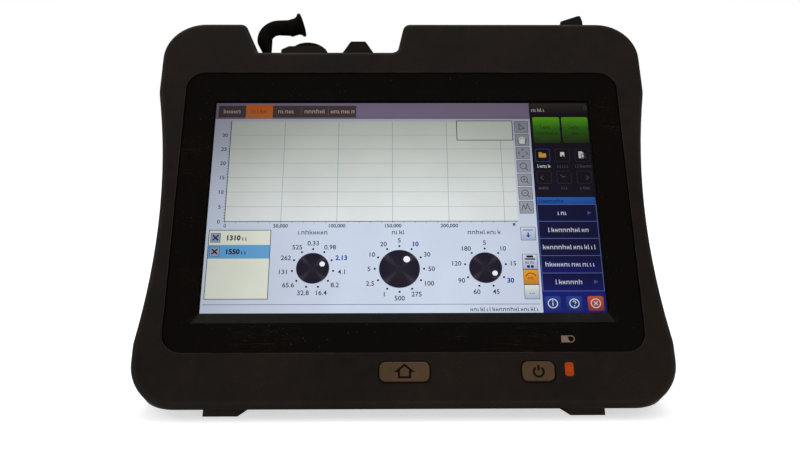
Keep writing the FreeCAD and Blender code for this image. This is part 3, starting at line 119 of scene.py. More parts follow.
def polar(middle: Point, radius: float, angle: float) -> Point:
    """The point at a radius and an angle in degrees from a middle."""
    turn = math.radians(angle)
    return (middle[0] + radius * math.cos(turn), middle[1] + radius * math.sin(turn))


def rounded(low: Point, high: Point, radius: float) -> list[Point]:
    """The outline of a rectangle with round corners.

    Args:
        low: its lower left corner.
        high: its upper right corner.
        radius: radius of the corners.

    Returns:
        Five points a corner, anticlockwise from the lower right one.
    """
    near_x, near_z = low[0] + radius, low[1] + radius
    far_x, far_z = high[0] - radius, high[1] - radius
    corners = ((far_x, near_z), (far_x, far_z), (near_x, far_z), (near_x, near_z))
    return [polar(corner, radius, 90 * index - 90 + 22.5 * part)
            for index, corner in enumerate(corners) for part in range(5)]


def linear(colour: Colour, level: float = 1.0) -> Rgba:
    """A screen colour, 0 to 255 a channel, as linear light at a level, with full alpha.

    Args:
        colour: its three channels.
        level: what the light is multiplied by.

    Returns:
        The light, ready for a colour socket.
    """
    shares = [channel / 255 for channel in colour]
    light = [s / 12.92 if s <= 0.04045 else ((s + 0.055) / 1.055) ** 2.4 for s in shares]
    return (light[0] * level, light[1] * level, light[2] * level, 1.0)


def grey(level: float) -> Rgba:
    """A linear grey with full alpha."""
    return (level, level, level, 1.0)


# ---- node trees
class Wiring:
    """Short calls that place and join the nodes of one tree."""

    def __init__(self, tree: NodeTree) -> None:
        """Start on a tree."""
        self.tree = tree

    def add(self, kind: str, **settings: object) -> Node:
        """Place a node and set its properties.

        Args:
            kind: the node's type.
            settings: its properties by name.

        Returns:
            The node.
        """
        node = self.tree.nodes.new(kind)
        for key, value in settings.items():
            setattr(node, key, value)
        return node

    def feed(self, socket: NodeSocket, value: object) -> None:
        """Join a socket to another one, or give it a plain value.

        Args:
            socket: the input to feed.
            value: an output socket, a number or a colour.
        """
        if isinstance(value, NodeSocket):
            self.tree.links.new(value, socket)
        else:
            socket.default_value = value

    def join(self, node: Node, **values: object) -> Node:
        """Feed a node's inputs, each named in lower case with _ for a space.

        Args:
            node: the node to feed.
            values: what each input gets.

        Returns:
            The same node.
        """
        sockets = {socket.name.lower().replace(" ", "_"): socket for socket in node.inputs}
        for name, value in values.items():
            self.feed(sockets[name], value)
        return node

    def fed(self, kind: str, *values: object, **settings: object) -> Node:
        """Place a node and feed its first inputs in order.

        Args:
            kind: the node's type.
            values: what the inputs get.
            settings: its properties by name.

        Returns:
            The node.
        """
        node = self.add(kind, **settings)
        for socket, value in zip(node.inputs, values):
            self.feed(socket, value)
        return node

    def math(self, operation: str, *values: object, clamp: bool = False) -> NodeSocket:
        """One step of arithmetic on values."""
        return self.fed("ShaderNodeMath", *values, operation=operation, use_clamp=clamp).outputs[0]

    def times(self, a: object, b: object, clamp: bool = False) -> NodeSocket:
        """The product of two values."""
        return self.math("MULTIPLY", a, b, clamp=clamp)

    def larger(self, a: object, b: object) -> NodeSocket:
        """The larger of two values."""
        return self.math("MAXIMUM", a, b)

    def vector(self, operation: str, *values: object) -> Node:
        """One step of arithmetic on vectors."""
        return self.fed("ShaderNodeVectorMath", *values, operation=operation)

    def cloud(self, scale: object, detail: float, low: float, high: float, to_low: float = 0.0,
              to_high: float = 1.0) -> NodeSocket:
        """Noise over the surface, softly cut between two levels."""
        return self.span(self.noise(self.place(), scale, detail), low, high, to_low, to_high)

    def rise(self, direction: object) -> NodeSocket:
        """The upward part of a direction."""
        return self.join(self.add("ShaderNodeSeparateXYZ"), vector=direction).outputs["Z"]

    def mix(self, share: object, a: object, b: object) -> NodeSocket:
        """Blend two colours by a share.

        Args:
            share: how much of the second colour shows, 0 to 1.
            a: the first colour.
            b: the second colour.

        Returns:
            The blend.
        """
        node = self.add("ShaderNodeMix", data_type="RGBA")
        self.feed(node.inputs["Factor"], share)
        self.feed(node.inputs[6], a)
        self.feed(node.inputs[7], b)
        return node.outputs[2]

    def span(self, value: object, low: float, high: float, to_low: float = 0.0,
             to_high: float = 1.0) -> NodeSocket:
        """Stretch a value from one range to another, softly at both ends."""
        values = (value, low, high, to_low, to_high)
        return self.fed("ShaderNodeMapRange", *values, interpolation_type="SMOOTHSTEP").outputs[0]

    def noise(self, place: object, scale: object, detail: float = 2.0) -> NodeSocket:
        """Cloudy noise between 0 and 1."""
        return self.join(self.add("ShaderNodeTexNoise"), vector=place, scale=scale, detail=detail).outputs[0]

    def stretched(self, scale: Triple, turn: float = 0.0) -> NodeSocket:
        """Where the surface is, turned about the upright of the face and stretched."""
        mapping = self.add("ShaderNodeMapping")
        return self.join(mapping, vector=self.place(), rotation=(0.0, turn, 0.0), scale=scale).outputs[0]

    def place(self) -> NodeSocket:
        """Where the surface is, in metres."""
        return self.add("ShaderNodeTexCoord").outputs["Object"]

    def group(self, effect: "Effect", **values: object) -> Node:
        """Place a shared effect with its own values."""
        return self.join(self.add("ShaderNodeGroup", node_tree=effect.tree()), **values)

    def take(self, name: str) -> NodeSocket:
        """One of the values that the group takes in."""
        return self.tree.nodes["Group Input"].outputs[name]

    def give(self, **values: object) -> None:
        """Feed what the group puts out."""
        self.join(self.tree.nodes["Group Output"], **values)

    def shade(self, **values: object) -> None:
        """Feed the material's Principled shader."""
        self.join(self.tree.nodes["Principled BSDF"], **values)


class Effect:
    """A surface effect that several materials share, kept as one node group."""

    title = "effect"
    takes: dict[str, float | Rgba] = {}
    gives: dict[str, str] = {}

    def tree(self) -> NodeTree:
        """The node group, built at the first call.

        Returns:
            The group with its sockets, wired.
        """
        held = bpy.data.node_groups.get(self.title)
        if held:
            return held
        tree = bpy.data.node_groups.new(self.title, "ShaderNodeTree")
        for name, start in self.takes.items():
            kind = "NodeSocketFloat" if isinstance(start, float) else "NodeSocketColor"
            tree.interface.new_socket(name, in_out="INPUT", socket_type=kind).default_value = start
        for name, kind in self.gives.items():
            tree.interface.new_socket(name, in_out="OUTPUT", socket_type=kind)
        w = Wiring(tree)
        w.add("NodeGroupInput")
        w.add("NodeGroupOutput")
        self.wire(w)
        return tree

    def wire(self, w: Wiring) -> None:
        """Fill the group; each effect has its own."""
        raise NotImplementedError


class Grain(Effect):
    """Fine spark-eroded grain of a mould, with a slow change of tone."""

    title = "mould grain"
    takes = {"Scale": 3500.0, "Patch": 30.0}
    gives = {"Height": "NodeSocketFloat", "Tone": "NodeSocketFloat"}
    broad = (4.0, 0.3, 0.7)
    close = (4.0, 0.25, 0.75)
    closer = 7.0
    broad_share = 0.6

    def wire(self, w: Wiring) -> None:
        """Grain from fine noise, tone from a broad and a closer noise.

        Args:
            w: the wiring of the group.
        """
        patch = w.take("Patch")
        broad = w.cloud(patch, *self.broad)
        close = w.cloud(w.times(patch, self.closer), *self.close)
        tone = w.math("ADD", w.times(broad, self.broad_share), w.times(close, 1 - self.broad_share))
        w.give(height=w.noise(w.place(), w.take("Scale"), 3.0), tone=tone)


class EdgeWear(Effect):
    """Rubbed edges and corners, broken up so that no edge is worn all along."""

    title = "edge wear"
    takes = {"Radius": 0.0006, "Breakup": 160.0, "Amount": 0.6}
    gives = {"Mask": "NodeSocketFloat"}
    flat = 0.985
    sharp = 0.88
    breaks = (5.0, 0.35, 0.62)

    def wire(self, w: Wiring) -> None:
        """Compare the rounded normal with the true one.

        Args:
            w: the wiring of the group.
        """
        bevel = w.join(w.add("ShaderNodeBevel", samples=6), radius=w.take("Radius"))
        normal = w.add("ShaderNodeNewGeometry").outputs["Normal"]
        turn = w.vector("DOT_PRODUCT", bevel.outputs[0], normal).outputs["Value"]
        edge = w.span(turn, self.flat, self.sharp)
        broken = w.cloud(w.take("Breakup"), *self.breaks)
        w.give(mask=w.times(w.times(edge, broken), w.take("Amount"), clamp=True))


class Dust(Effect):
    """Light specks, and a thin film on whatever faces up."""

    title = "dust"
    takes = {"Specks": 900.0, "Amount": 0.4}
    gives = {"Mask": "NodeSocketFloat"}
    speck = (0.16, 0.08)
    gathered = (90.0, 3.0, 0.5, 0.68)
    facing_up = (0.45, 1.0)
    film = (45.0, 4.0, 0.3, 0.8)
    film_share = 0.35

    def wire(self, w: Wiring) -> None:
        """Specks from the cores of cells, film from the normal's rise.

        Args:
            w: the wiring of the group.
        """
        cells = w.join(w.add("ShaderNodeTexVoronoi"), vector=w.place(), scale=w.take("Specks"))
        specks = w.times(w.span(cells.outputs["Distance"], *self.speck), w.cloud(*self.gathered))
        level = w.span(w.rise(w.add("ShaderNodeNewGeometry").outputs["Normal"]), *self.facing_up)
        film = w.times(level, w.cloud(*self.film))
        both = w.math("ADD", specks, w.times(film, self.film_share))
        w.give(mask=w.times(both, w.take("Amount"), clamp=True))


class Scratches(Effect):
    """Hairline scratches that run two ways across the face."""

    title = "scratches"
    takes = {"Scale": 60.0, "Amount": 0.5}
    gives = {"Mask": "NodeSocketFloat"}
    ways = ((0.5, (1.0, 22.0, 22.0)), (2.2, (1.5, 30.0, 30.0)))
    width = 0.006
    where = (26.0, 2.0, 0.52, 0.7)

    def wire(self, w: Wiring) -> None:
        """Thin bands of noise stretched along each way.

        Args:
            w: the wiring of the group.
        """
        lines: list[NodeSocket] = []
        for turn, stretch in self.ways:
            field = w.noise(w.stretched(stretch, turn), w.take("Scale"), 1.0)
            lines.append(w.span(w.math("ABSOLUTE", w.math("SUBTRACT", field, 0.5)), self.width, 0.0))
        mask = w.times(w.larger(*lines), w.cloud(*self.where))
        w.give(mask=w.times(mask, w.take("Amount"), clamp=True))


class Backlight(Effect):
    """A panel seen from below its best angle: dimmer at the top and towards both ends."""

    title = "backlight"
    takes = {"Ink": (1.0, 1.0, 1.0, 1.0), "Dim": 0.47, "Ends": 0.34}
    gives = {"Light": "NodeSocketColor"}
    dim_from = 0.050
    full_from = -0.010
    half_width = 0.0762
    uneven = (55.0, 3.0, 0.2, 0.8, 0.96, 1.03)

    def wire(self, w: Wiring) -> None:
        """Scale the ink by height up the face and by distance from the middle.

        Args:
            w: the wiring of the group.
        """
        face = face_of("lcd_module")
        offset = w.vector("SUBTRACT", w.place(), face.origin).outputs[0]
        up = w.vector("DOT_PRODUCT", offset, face.up).outputs["Value"]
        across = w.vector("DOT_PRODUCT", offset, face.across).outputs["Value"]
        dim = w.take("Dim")
        high = w.span(up, self.dim_from, self.full_from)
        rise = w.math("ADD", w.times(high, w.math("SUBTRACT", 1.0, dim)), dim)
        far = w.math("POWER", w.math("ABSOLUTE", w.math("DIVIDE", across, self.half_width)), 2.0)
        ends = w.math("SUBTRACT", 1.0, w.times(far, w.take("Ends")))
        scaled = w.add("ShaderNodeVectorMath", operation="SCALE")
        w.feed(scaled.inputs[0], w.take("Ink"))
        w.join(scaled, scale=w.times(w.times(rise, ends), w.cloud(*self.uneven)))
        w.give(light=scaled.outputs[0])


# ---- finishes
DUST_COLOUR: Colour = (150, 142, 130)
SPECK_COLOUR: Colour = (140, 132, 120)
SCRATCH_COLOUR: Colour = (92, 84, 74)


@dataclass(frozen=True)
class Finish:
    """How one kind of surface looks; each subclass wires its own shader."""

    name: str
    colour: Colour = (128, 128, 128)
    roughness: float = 0.5

    def material(self) -> Material:
        """The material, made at the first call.

        Returns:
            The material, wired.
        """
        title = "reflectometer " + self.name
        held = bpy.data.materials.get(title)
        if held:
            return held
        made = bpy.data.materials.new(title)
        made.use_nodes = True
        made.diffuse_color = linear(self.colour)
        w = Wiring(made.node_tree)
        w.shade(base_color=linear(self.colour), roughness=self.roughness)
        self.wire(w)
        return made

    def wire(self, w: Wiring) -> None:
        """Join the effects to the shader."""
        raise NotImplementedError

    def bump(self, w: Wiring, height: object, depth: float) -> None:
        """Raise the surface by a height between 0 and 1, as deep as depth in millimetres."""
        node = w.join(w.add("ShaderNodeBump"), strength=1.0, distance=depth * MM, height=height)
        w.shade(normal=node.outputs[0])


@dataclass(frozen=True)
class Moulded(Finish):
    """Satin moulded plastic or rubber with grain, rubbed edges and a little dust."""

    shade: Colour = (24, 20, 18)
    grain: float = 3500.0
    depth: float = 0.012
    sheen_level: float = 0.13
    worn: Colour = (70, 60, 50)
    wear: float = 0.5
    wear_radius: float = 0.6
    scuff: float = 0.0
    scuff_scale: float = 46.0
    dust: float = 0.12
    uneven: float = 0.06

    def wire(self, w: Wiring) -> None:
        """Tone, then wear and scuffs, then dust, with grain in the bump.

        Args:
            w: the wiring of the material.
        """
        grain = w.group(Grain(), scale=self.grain)
        edge = w.group(EdgeWear(), radius=self.wear_radius * MM, amount=self.wear)
        dust = w.group(Dust(), amount=self.dust)
        rubbing = edge.outputs["Mask"]
        if self.scuff > 0:
            lines = w.group(Scratches(), scale=self.scuff_scale, amount=self.scuff)
            rubbing = w.larger(rubbing, lines.outputs["Mask"])
        toned = w.mix(grain.outputs["Tone"], linear(self.shade), linear(self.colour))
        rubbed = w.mix(rubbing, toned, linear(self.worn))
        low, high = self.roughness - self.uneven, self.roughness + self.uneven
        w.shade(base_color=w.mix(dust.outputs["Mask"], rubbed, linear(DUST_COLOUR)),
                roughness=w.span(grain.outputs["Tone"], 0.0, 1.0, high, low),
                specular_ior_level=self.sheen_level)
        self.bump(w, grain.outputs["Height"], self.depth)


@dataclass(frozen=True)
class Gloss(Finish):
    """Polished plastic with hairline scratches and specks of dust."""

    sheen_level: float = 0.12
    scratch: float = 0.22
    dust: float = 0.1
    specks: float = 520.0
    smear: Point = (1400.0, 18.0)
    hazed: float = 0.07
    scratched: float = 0.3
    depth: float = 0.0015

    def wire(self, w: Wiring) -> None:
        """Scratches roughen and lighten, dust lies on top.

        Args:
            w: the wiring of the material.
        """
        lines = w.group(Scratches(), amount=self.scratch)
        dust = w.group(Dust(), specks=self.specks, amount=self.dust)
        haze = w.group(Grain(), scale=self.smear[0], patch=self.smear[1])
        marked = w.mix(lines.outputs["Mask"], linear(self.colour), linear(SCRATCH_COLOUR))
        rough = w.span(haze.outputs["Tone"], 0.0, 1.0, self.roughness, self.roughness + self.hazed)
        w.shade(base_color=w.mix(dust.outputs["Mask"], marked, linear(SPECK_COLOUR)),
                roughness=w.math("ADD", rough, w.times(lines.outputs["Mask"], self.scratched)),
                specular_ior_level=self.sheen_level)
        self.bump(w, haze.outputs["Height"], self.depth)


@dataclass(frozen=True)
class Metal(Finish):
    """Plated or brushed metal with fine lines across it."""

    line: Point = (260.0, 5200.0)
    patina: Point = (900.0, 120.0)
    spread: Point = (0.08, 0.1)
    dull: float = 0.8
    depth: float = 0.003

    def wire(self, w: Wiring) -> None:
        """Stretch noise into brush lines for roughness and bump.

        Args:
            w: the wiring of the material.
        """
        lines = w.noise(w.stretched((self.line[0], self.line[1], self.line[0])), 1.0, 2.0)
        tone = w.group(Grain(), scale=self.patina[0], patch=self.patina[1])
        low, high = self.roughness - self.spread[0], self.roughness + self.spread[1]
        w.shade(metallic=1.0, roughness=w.span(lines, 0.2, 0.8, low, high),
                base_color=w.mix(tone.outputs["Tone"], linear(self.colour), linear(self.colour, self.dull)))
        self.bump(w, lines, self.depth)


@dataclass(frozen=True)
class ClearGlass(Finish):
    """Clear cover glass with faint finger haze."""

    bend: float = 1.45
    sheen_level: float = 0.1
    smear: Point = (700.0, 40.0)
    hazed: float = 0.006

    def wire(self, w: Wiring) -> None:
        """Haze goes into the roughness alone.

        Args:
            w: the wiring of the material.
        """
        haze = w.group(Grain(), scale=self.smear[0], patch=self.smear[1])
        w.shade(transmission_weight=1.0, ior=self.bend, specular_ior_level=self.sheen_level,
                roughness=w.span(haze.outputs["Tone"], 0.0, 1.0, 0.0, self.hazed))


@dataclass(frozen=True)
class ScreenInk(Finish):
    """The lit picture: each patch of the mesh carries its ink, and the backlight scales it."""

    strength: float = 1.0

    def wire(self, w: Wiring) -> None:
        """Ink through the backlight into the emission.

        Args:
            w: the wiring of the material.
        """
        ink = w.add("ShaderNodeAttribute", attribute_name="ink", attribute_type="GEOMETRY")
        light = w.group(Backlight(), ink=ink.outputs["Color"]).outputs["Light"]
        w.shade(emission_color=light, emission_strength=self.strength, specular_ior_level=0.0)


@dataclass(frozen=True)
class Glow(Finish):
    """A lamp or light guide, brighter in its middle than at its rim."""

    rim: Colour = (140, 50, 16)
    core: Colour = (154, 58, 2)
    fade: Point = (0.4, 2.4)
    haze: tuple[float, ...] = (900.0, 2.0, 0.2, 0.9, 0.0, 0.18)
    strength: float = 1.0
    node: str = "light_pipe"

    def wire(self, w: Wiring) -> None:
        """Fade the emission outwards from the middle of the piece.

        Args:
            w: the wiring of the material.
        """
        middle = face_of(self.node).origin
        gap = w.vector("DISTANCE", w.place(), middle).outputs["Value"]
        fade = w.span(gap, self.fade[1] * MM, self.fade[0] * MM)
        glow = w.mix(fade, linear(self.rim), linear(self.core))
        w.shade(emission_color=w.mix(w.cloud(*self.haze), glow, linear(self.rim)),
                emission_strength=self.strength, specular_ior_level=0.08)


@dataclass(frozen=True)
class Board(Finish):
    """Green solder mask with tracks, brighter and raised."""

    tracks: float = 160.0
    wall: float = 0.03
    bright: float = 1.9
    depth: float = 0.02

    def wire(self, w: Wiring) -> None:
        """Tracks from the walls between blocky cells.

        Args:
            w: the wiring of the material.
        """
        cells = w.add("ShaderNodeTexBrick", offset=0.35, squash=0.6)
        w.join(cells, vector=w.place(), scale=self.tracks, mortar_size=self.wall)
        track = w.span(cells.outputs["Fac"], 0.4, 0.6)
        w.shade(base_color=w.mix(track, linear(self.colour), linear(self.colour, self.bright)))
        self.bump(w, track, self.depth)


CASE = Moulded("case", (32, 23, 16), 0.48, shade=(17, 12, 9), worn=(72, 58, 46), sheen_level=0.12, scuff=0.25)
STAND = Moulded("stand", (36, 33, 31), 0.4, shade=(27, 25, 24), worn=(60, 52, 44), sheen_level=0.3)
CAP_GREY = Moulded("port cap", (30, 20, 12), 0.6, shade=(20, 13, 7), worn=(58, 44, 30), wear=0.4,
                   sheen_level=0.07)
BLACK = Moulded("black fittings", (13, 10, 8), 0.42, shade=(8, 7, 6), grain=5000.0, depth=0.006,
                worn=(36, 30, 25), wear=0.3, dust=0.05)
RUBBER = Moulded("rubber", (13, 9, 6), 0.7, shade=(8, 6, 4), grain=2600.0, depth=0.02, worn=(30, 24, 19),
                 wear=0.25, sheen_level=0.05, dust=0.05)
# Painted light: the feet are coloured well lighter than their rubber, standing in for the frontal light that
# the chin shades off them.
SOLE_WITH_PAINTED_LIGHT = Moulded("sole rubber with painted light", (60, 48, 38), 0.6, shade=(48, 38, 31), grain=2600.0, depth=0.02,
               worn=(66, 54, 44), wear=0.3)
FOAM = Moulded("foam", (34, 28, 29), 0.8, shade=(24, 20, 20), grain=1800.0, depth=0.05, wear=0.1)
KEY = Moulded("keys", (81, 61, 40), 0.5, shade=(67, 49, 31), worn=(122, 102, 78), wear=0.45, wear_radius=0.4)
CERAMIC = Gloss("ceramic sleeve", (232, 230, 222), 0.12, sheen_level=0.5, scratch=0.1, dust=0.05)
BEZEL = Gloss("bezel", (12, 9, 7), 0.1, sheen_level=0.07)
WRAP = Gloss("cell wrap", (34, 40, 56), 0.3, sheen_level=0.4)
STEEL = Metal("steel", (178, 178, 180), 0.34)
DARK_STEEL = Metal("dark steel", (84, 82, 80), 0.4)
ALLOY = Metal("alloy", (170, 171, 175), 0.48, line=(900.0, 900.0))
GOLD = Metal("gold contacts", (222, 178, 96), 0.28)
GREEN_BOARD = Board("board", (22, 84, 44), 0.38)
GLASS = ClearGlass("cover glass", (255, 255, 255), 0.0)
SCREEN = ScreenInk("screen", (0, 0, 0), 1.0)
LAMP = Glow("status light", (60, 20, 4), 0.4)
SCREEN_BACK = Gloss("panel back", (10, 9, 10), 0.4, scratch=0.0, dust=0.0)
# Dark print for the key symbols, also used for the dark rings that paint the gap shadow round the keys.
DARK_PRINT_AND_SHADE = Gloss("dark print and painted shade", (20, 13, 8), 0.45, scratch=0.0, dust=0.05)
PRINT_PALE = Gloss("pale print", (116, 98, 84), 0.45, scratch=0.1, dust=0.1)


def linked(name: str, data: ID) -> Object:
    """A new object in the scene that shows some data.

    Args:
        name: its name.
        data: the mesh, curve, light or camera.

    Returns:
        The object.
    """
    made = bpy.data.objects.new(name, data)
    bpy.context.scene.collection.objects.link(made)
    return made


def dress(finish: Finish, *nodes: str) -> None:
    """Give whole CAD nodes one finish.

    Args:
        finish: the finish.
        nodes: names of the nodes.
    """
    for name in nodes:
        mesh = frame["nodes"][name].data
        mesh.materials.clear()
        mesh.materials.append(finish.material())
    LOG.info("%s: %s", finish.name, ", ".join(nodes))


class Assembly:
    """One sub-assembly: the finishes of its CAD nodes and the fine pieces on them."""

    dressed: dict[Finish, list[str]] = {}

    def build(self) -> None:
        """Dress the nodes, then add the fine pieces."""
        for finish, nodes in self.dressed.items():
            dress(finish, *nodes)
        self.add()

    def add(self) -> None:
        """Build the fine pieces; most sub-assemblies have none."""


# ---- drawing on a face
class Ink(Enum):
    """The colours of the screen's picture, at the backlight's full level."""

    STRIP = (142, 129, 158)
    STRIP_EDGE = (112, 100, 124)
    TAB = (86, 69, 70)
    TAB_LINE = (120, 104, 108)
    TAB_LIT = (238, 112, 26)
    TAB_LIT_FOOT = (206, 124, 70)
    TAB_WORD = (210, 196, 190)
    LIT_WORD = (168, 76, 22)
    PAPER = (216, 222, 212)
    PAPER_LOW = (226, 232, 232)
    GRID = (158, 182, 198)
    GRID_SOFT = (174, 190, 196)
    AXIS = (56, 56, 72)
    TICK = (92, 92, 106)
    FIELD = (198, 203, 222)
    FIELD_LOW = (206, 217, 236)
    LIST = (232, 236, 222)
    LIST_LINE = (74, 78, 94)
    PICKED = (104, 168, 220)
    BOX = (158, 168, 196)
    BOX_LINE = (100, 108, 140)
    MARK = (34, 38, 104)
    MARK_DARK = (26, 28, 44)
    WORD = (58, 60, 82)
    NUMBER = (46, 48, 66)
    CHOSEN = (24, 62, 160)
    DIAL = (40, 34, 44)
    DIAL_RIM = (28, 26, 42)
    DIAL_SHEEN = (62, 56, 66)
    DIAL_EDGE = (64, 62, 86)
    KNOB = (244, 246, 255)
    TOOL = (160, 163, 174)
    TOOL_LINE = (96, 98, 112)
    PANEL = (26, 19, 25)
    PANEL_TOP = (66, 54, 52)
    PANEL_LOW = (24, 19, 40)
    PANEL_WORD = (222, 214, 208)
    GREEN = (110, 200, 34)
    GREEN_MID = (58, 120, 24)
    GREEN_FOOT = (44, 56, 26)
    GREEN_WORD = (22, 50, 14)
    FOLDER = (232, 170, 60)
    WHITE_ICON = (236, 236, 240)
    DIM = (92, 84, 90)
    DIM_LINE = (48, 44, 70)
    HEADER = (44, 100, 188)
    HEADER_LOW = (34, 82, 160)
    HEADER_WORD = (8, 26, 76)
    ROW = (20, 20, 60)
    ROW_LOW = (24, 26, 104)
    ROW_LINE = (84, 104, 168)
    ROW_WORD = (208, 214, 232)
    ARROW = (70, 92, 170)
    BLUE_KEY = (46, 70, 150)
    BLUE_KEY_LOW = (30, 46, 118)
    RED_KEY = (214, 92, 56)
    RED_KEY_LOW = (150, 60, 48)
    RING = (226, 228, 240)
    SMALL_KEY = (214, 220, 232)
    SMALL_KEY_LOW = (170, 184, 214)
    AMBER = (240, 164, 50)
    AMBER_LOW = (206, 128, 40)
    AMBER_WORD = (96, 62, 24)
    MENU_GROUND = (22, 22, 70)
    MENU_FOOT = (26, 34, 126)
    BORDER = (6, 5, 6)


class Drawing:
    """Thin shapes laid on one face and gathered into one mesh."""

    step = 0.03
    mitre = 0.35
    arc_step = 15
    disc_step = 10
    stem = 0.15
    low_letter = 0.72
    letter_gap = 0.22
    bars = (0.0, 0.28, 0.57)
    digit_height = 0.71
    plain_weight = 0.012

    def __init__(self, face: Face, lift: float = 0.02) -> None:
        """Start on a face, with the lowest layer lifted by lift millimetres.

        Args:
            face: where the shapes lie.
            lift: how far off it the lowest layer is, in millimetres.
        """
        self.face = face
        self.lift = lift
        self.mesh = bmesh.new()
        self.ink = self.mesh.loops.layers.float_color.new("ink")

    def patch(self, points: Sequence[Point], inks: Ink | Sequence[Ink], layer: int) -> None:
        """One flat shape.

        Args:
            points: its corners, anticlockwise.
            inks: one ink, or one for each corner, which then blend.
            layer: how many steps it lies above the lowest layer.
        """
        lift = self.lift + layer * self.step
        corners = [self.mesh.verts.new(self.face.at(x, z, lift)) for x, z in points]
        shape = self.mesh.faces.new(corners)
        shades = [inks] * len(points) if isinstance(inks, Ink) else list(inks)
        for loop, shade in zip(shape.loops, shades):
            loop[self.ink] = linear(shade.value)

    def panel(self, low: Point, high: Point, ink: Ink, layer: int, foot: Ink | None = None,
              radius: float = 0.0) -> None:
        """A rectangle from its lower left to its upper right corner, shaded towards its foot.

        Args:
            low: its lower left corner.
            high: its upper right corner.
            ink: its ink.
            layer: how many steps it lies above the lowest layer.
            foot: the ink along its foot, where it differs.
            radius: radius of its corners.
        """
        foot = foot or ink
        if radius > 0:
            self.patch(rounded(low, high, radius), [foot] * 5 + [ink] * 10 + [foot] * 5, layer)
        else:
            self.patch([low, (high[0], low[1]), high, (low[0], high[1])], [foot, foot, ink, ink], layer)

    def ribbon(self, points: Sequence[Point], width: float, ink: Ink, layer: int,
               closed: bool = False) -> None:
        """A line of even width with mitred corners, open or closed.

        Args:
            points: its corners.
            width: its width.
            ink: its ink.
            layer: how many steps it lies above the lowest layer.
            closed: whether the end joins the start.
        """
        path = list(points) + list(points[:1]) * closed
        ways = [(Vector(end) - Vector(start)).normalized() for start, end in zip(path, path[1:])]
        rails: list[tuple[Point, Point]] = []
        for index, (x, z) in enumerate(points):
            before = ways[index - 1:index] if index > 0 else ways[-1:] * closed
            met = before + ways[index:index + 1]
            way = sum(met, Vector((0.0, 0.0))).normalized()
            side = Vector((-way.y, way.x))
            reach = width / 2 / max(self.mitre, side.dot(Vector((-met[0].y, met[0].x))))
            rails.append(((x + side.x * reach, z + side.y * reach), (x - side.x * reach, z - side.y * reach)))
        rails += rails[:1] * closed
        for (left, right), (next_left, next_right) in zip(rails, rails[1:]):
            self.patch([right, next_right, next_left, left], ink, layer)

    def outline(self, low: Point, high: Point, width: float, ink: Ink, layer: int) -> None:
        """A thin rectangular frame."""
        self.ribbon([low, (high[0], low[1]), high, (low[0], high[1])], width, ink, layer, closed=True)

    def arc(self, middle: Point, radius: float, start: float, end: float, width: float, ink: Ink,
            layer: int) -> None:
        """Part of a ring between two angles in degrees.

        Args:
            middle: the ring's middle.
            radius: the ring's radius.
            start: angle where it starts.
            end: angle where it ends.
            width: the line's width.
            ink: its ink.
            layer: how many steps it lies above the lowest layer.
        """
        whole = abs(end - start) >= 360
        steps = max(6, int(abs(end - start) / self.arc_step))
        turns = [start + (end - start) * index / steps for index in range(steps if whole else steps + 1)]
        self.ribbon([polar(middle, radius, turn) for turn in turns], width, ink, layer, closed=whole)

    def disc(self, middle: Point, radius: float, ink: Ink, layer: int, rim: Ink | None = None) -> None:
        """A round spot, shaded from its middle to its rim.

        Args:
            middle: its middle.
            radius: its radius.
            ink: its ink, or that of its middle.
            layer: how many steps it lies above the lowest layer.
            rim: the ink at its rim, where it differs.
        """
        around = [polar(middle, radius, angle) for angle in range(0, 360, self.disc_step)]
        if rim is None:
            self.patch(around, ink, layer)
        else:
            for point, after in zip(around, around[1:] + around[:1]):
                self.patch([middle, point, after], [ink, rim, rim], layer)

    def word(self, middle: Point, length: float, size: float, ink: Ink, layer: int) -> None:
        """A stand-in for a word: short strokes, spaced as letters are, that spell nothing.

        Args:
            middle: the word's middle.
            length: its length.
            size: height of a tall letter.
            ink: its ink.
            layer: how many steps it lies above the lowest layer.
        """
        pen = middle[0] - length / 2
        end = middle[0] + length / 2
        low = middle[1] - size / 2
        stem = self.stem * size
        short = self.low_letter * size
        turn = int(length * 10)
        while pen < end - 0.3 * size:
            turn = (turn * 7 + 3) % 31
            wide = size * (0.42 + 0.1 * (turn % 3))
            tall = size if turn % 4 == 0 else short
            self.panel((pen, low), (pen + stem, low + tall), ink, layer)
            bar = low + self.bars[turn % 3] * size
            self.panel((pen + stem, bar), (pen + wide - stem, bar + stem), ink, layer)
            if turn % 3:
                self.panel((pen + wide - stem, low), (pen + wide, low + short), ink, layer)
            pen += wide + self.letter_gap * size

    def number(self, text: str, middle: Point, size: float, ink: Ink, layer: int,
               weight: float = plain_weight) -> None:
        """Plain figures, centred, with digits size millimetres tall.

        Args:
            text: the figures.
            middle: the number's middle.
            size: height of a digit.
            ink: its ink.
            layer: how many steps it lies above the lowest layer.
            weight: how much bolder than plain it is.
        """
        curve = bpy.data.curves.new("figures", "FONT")
        curve.body = text
        curve.align_x = "CENTER"
        curve.resolution_u = 3
        curve.offset = weight
        carrier = linked("figures", curve)
        bpy.context.view_layer.update()
        flat = bpy.data.meshes.new_from_object(carrier.evaluated_get(bpy.context.evaluated_depsgraph_get()))
        scale = size / self.digit_height
        for polygon in flat.polygons:
            corners = [flat.vertices[index].co for index in polygon.vertices]
            points = [(middle[0] + co.x * scale, middle[1] + (co.y - self.digit_height / 2) * scale)
                      for co in corners]
            turned = sum(a[0] * b[1] - a[1] * b[0] for a, b in zip(points, points[1:] + points[:1]))
            self.patch(points if turned > 0 else points[::-1], ink, layer)
        bpy.data.objects.remove(carrier)
        bpy.data.curves.remove(curve)
        bpy.data.meshes.remove(flat)

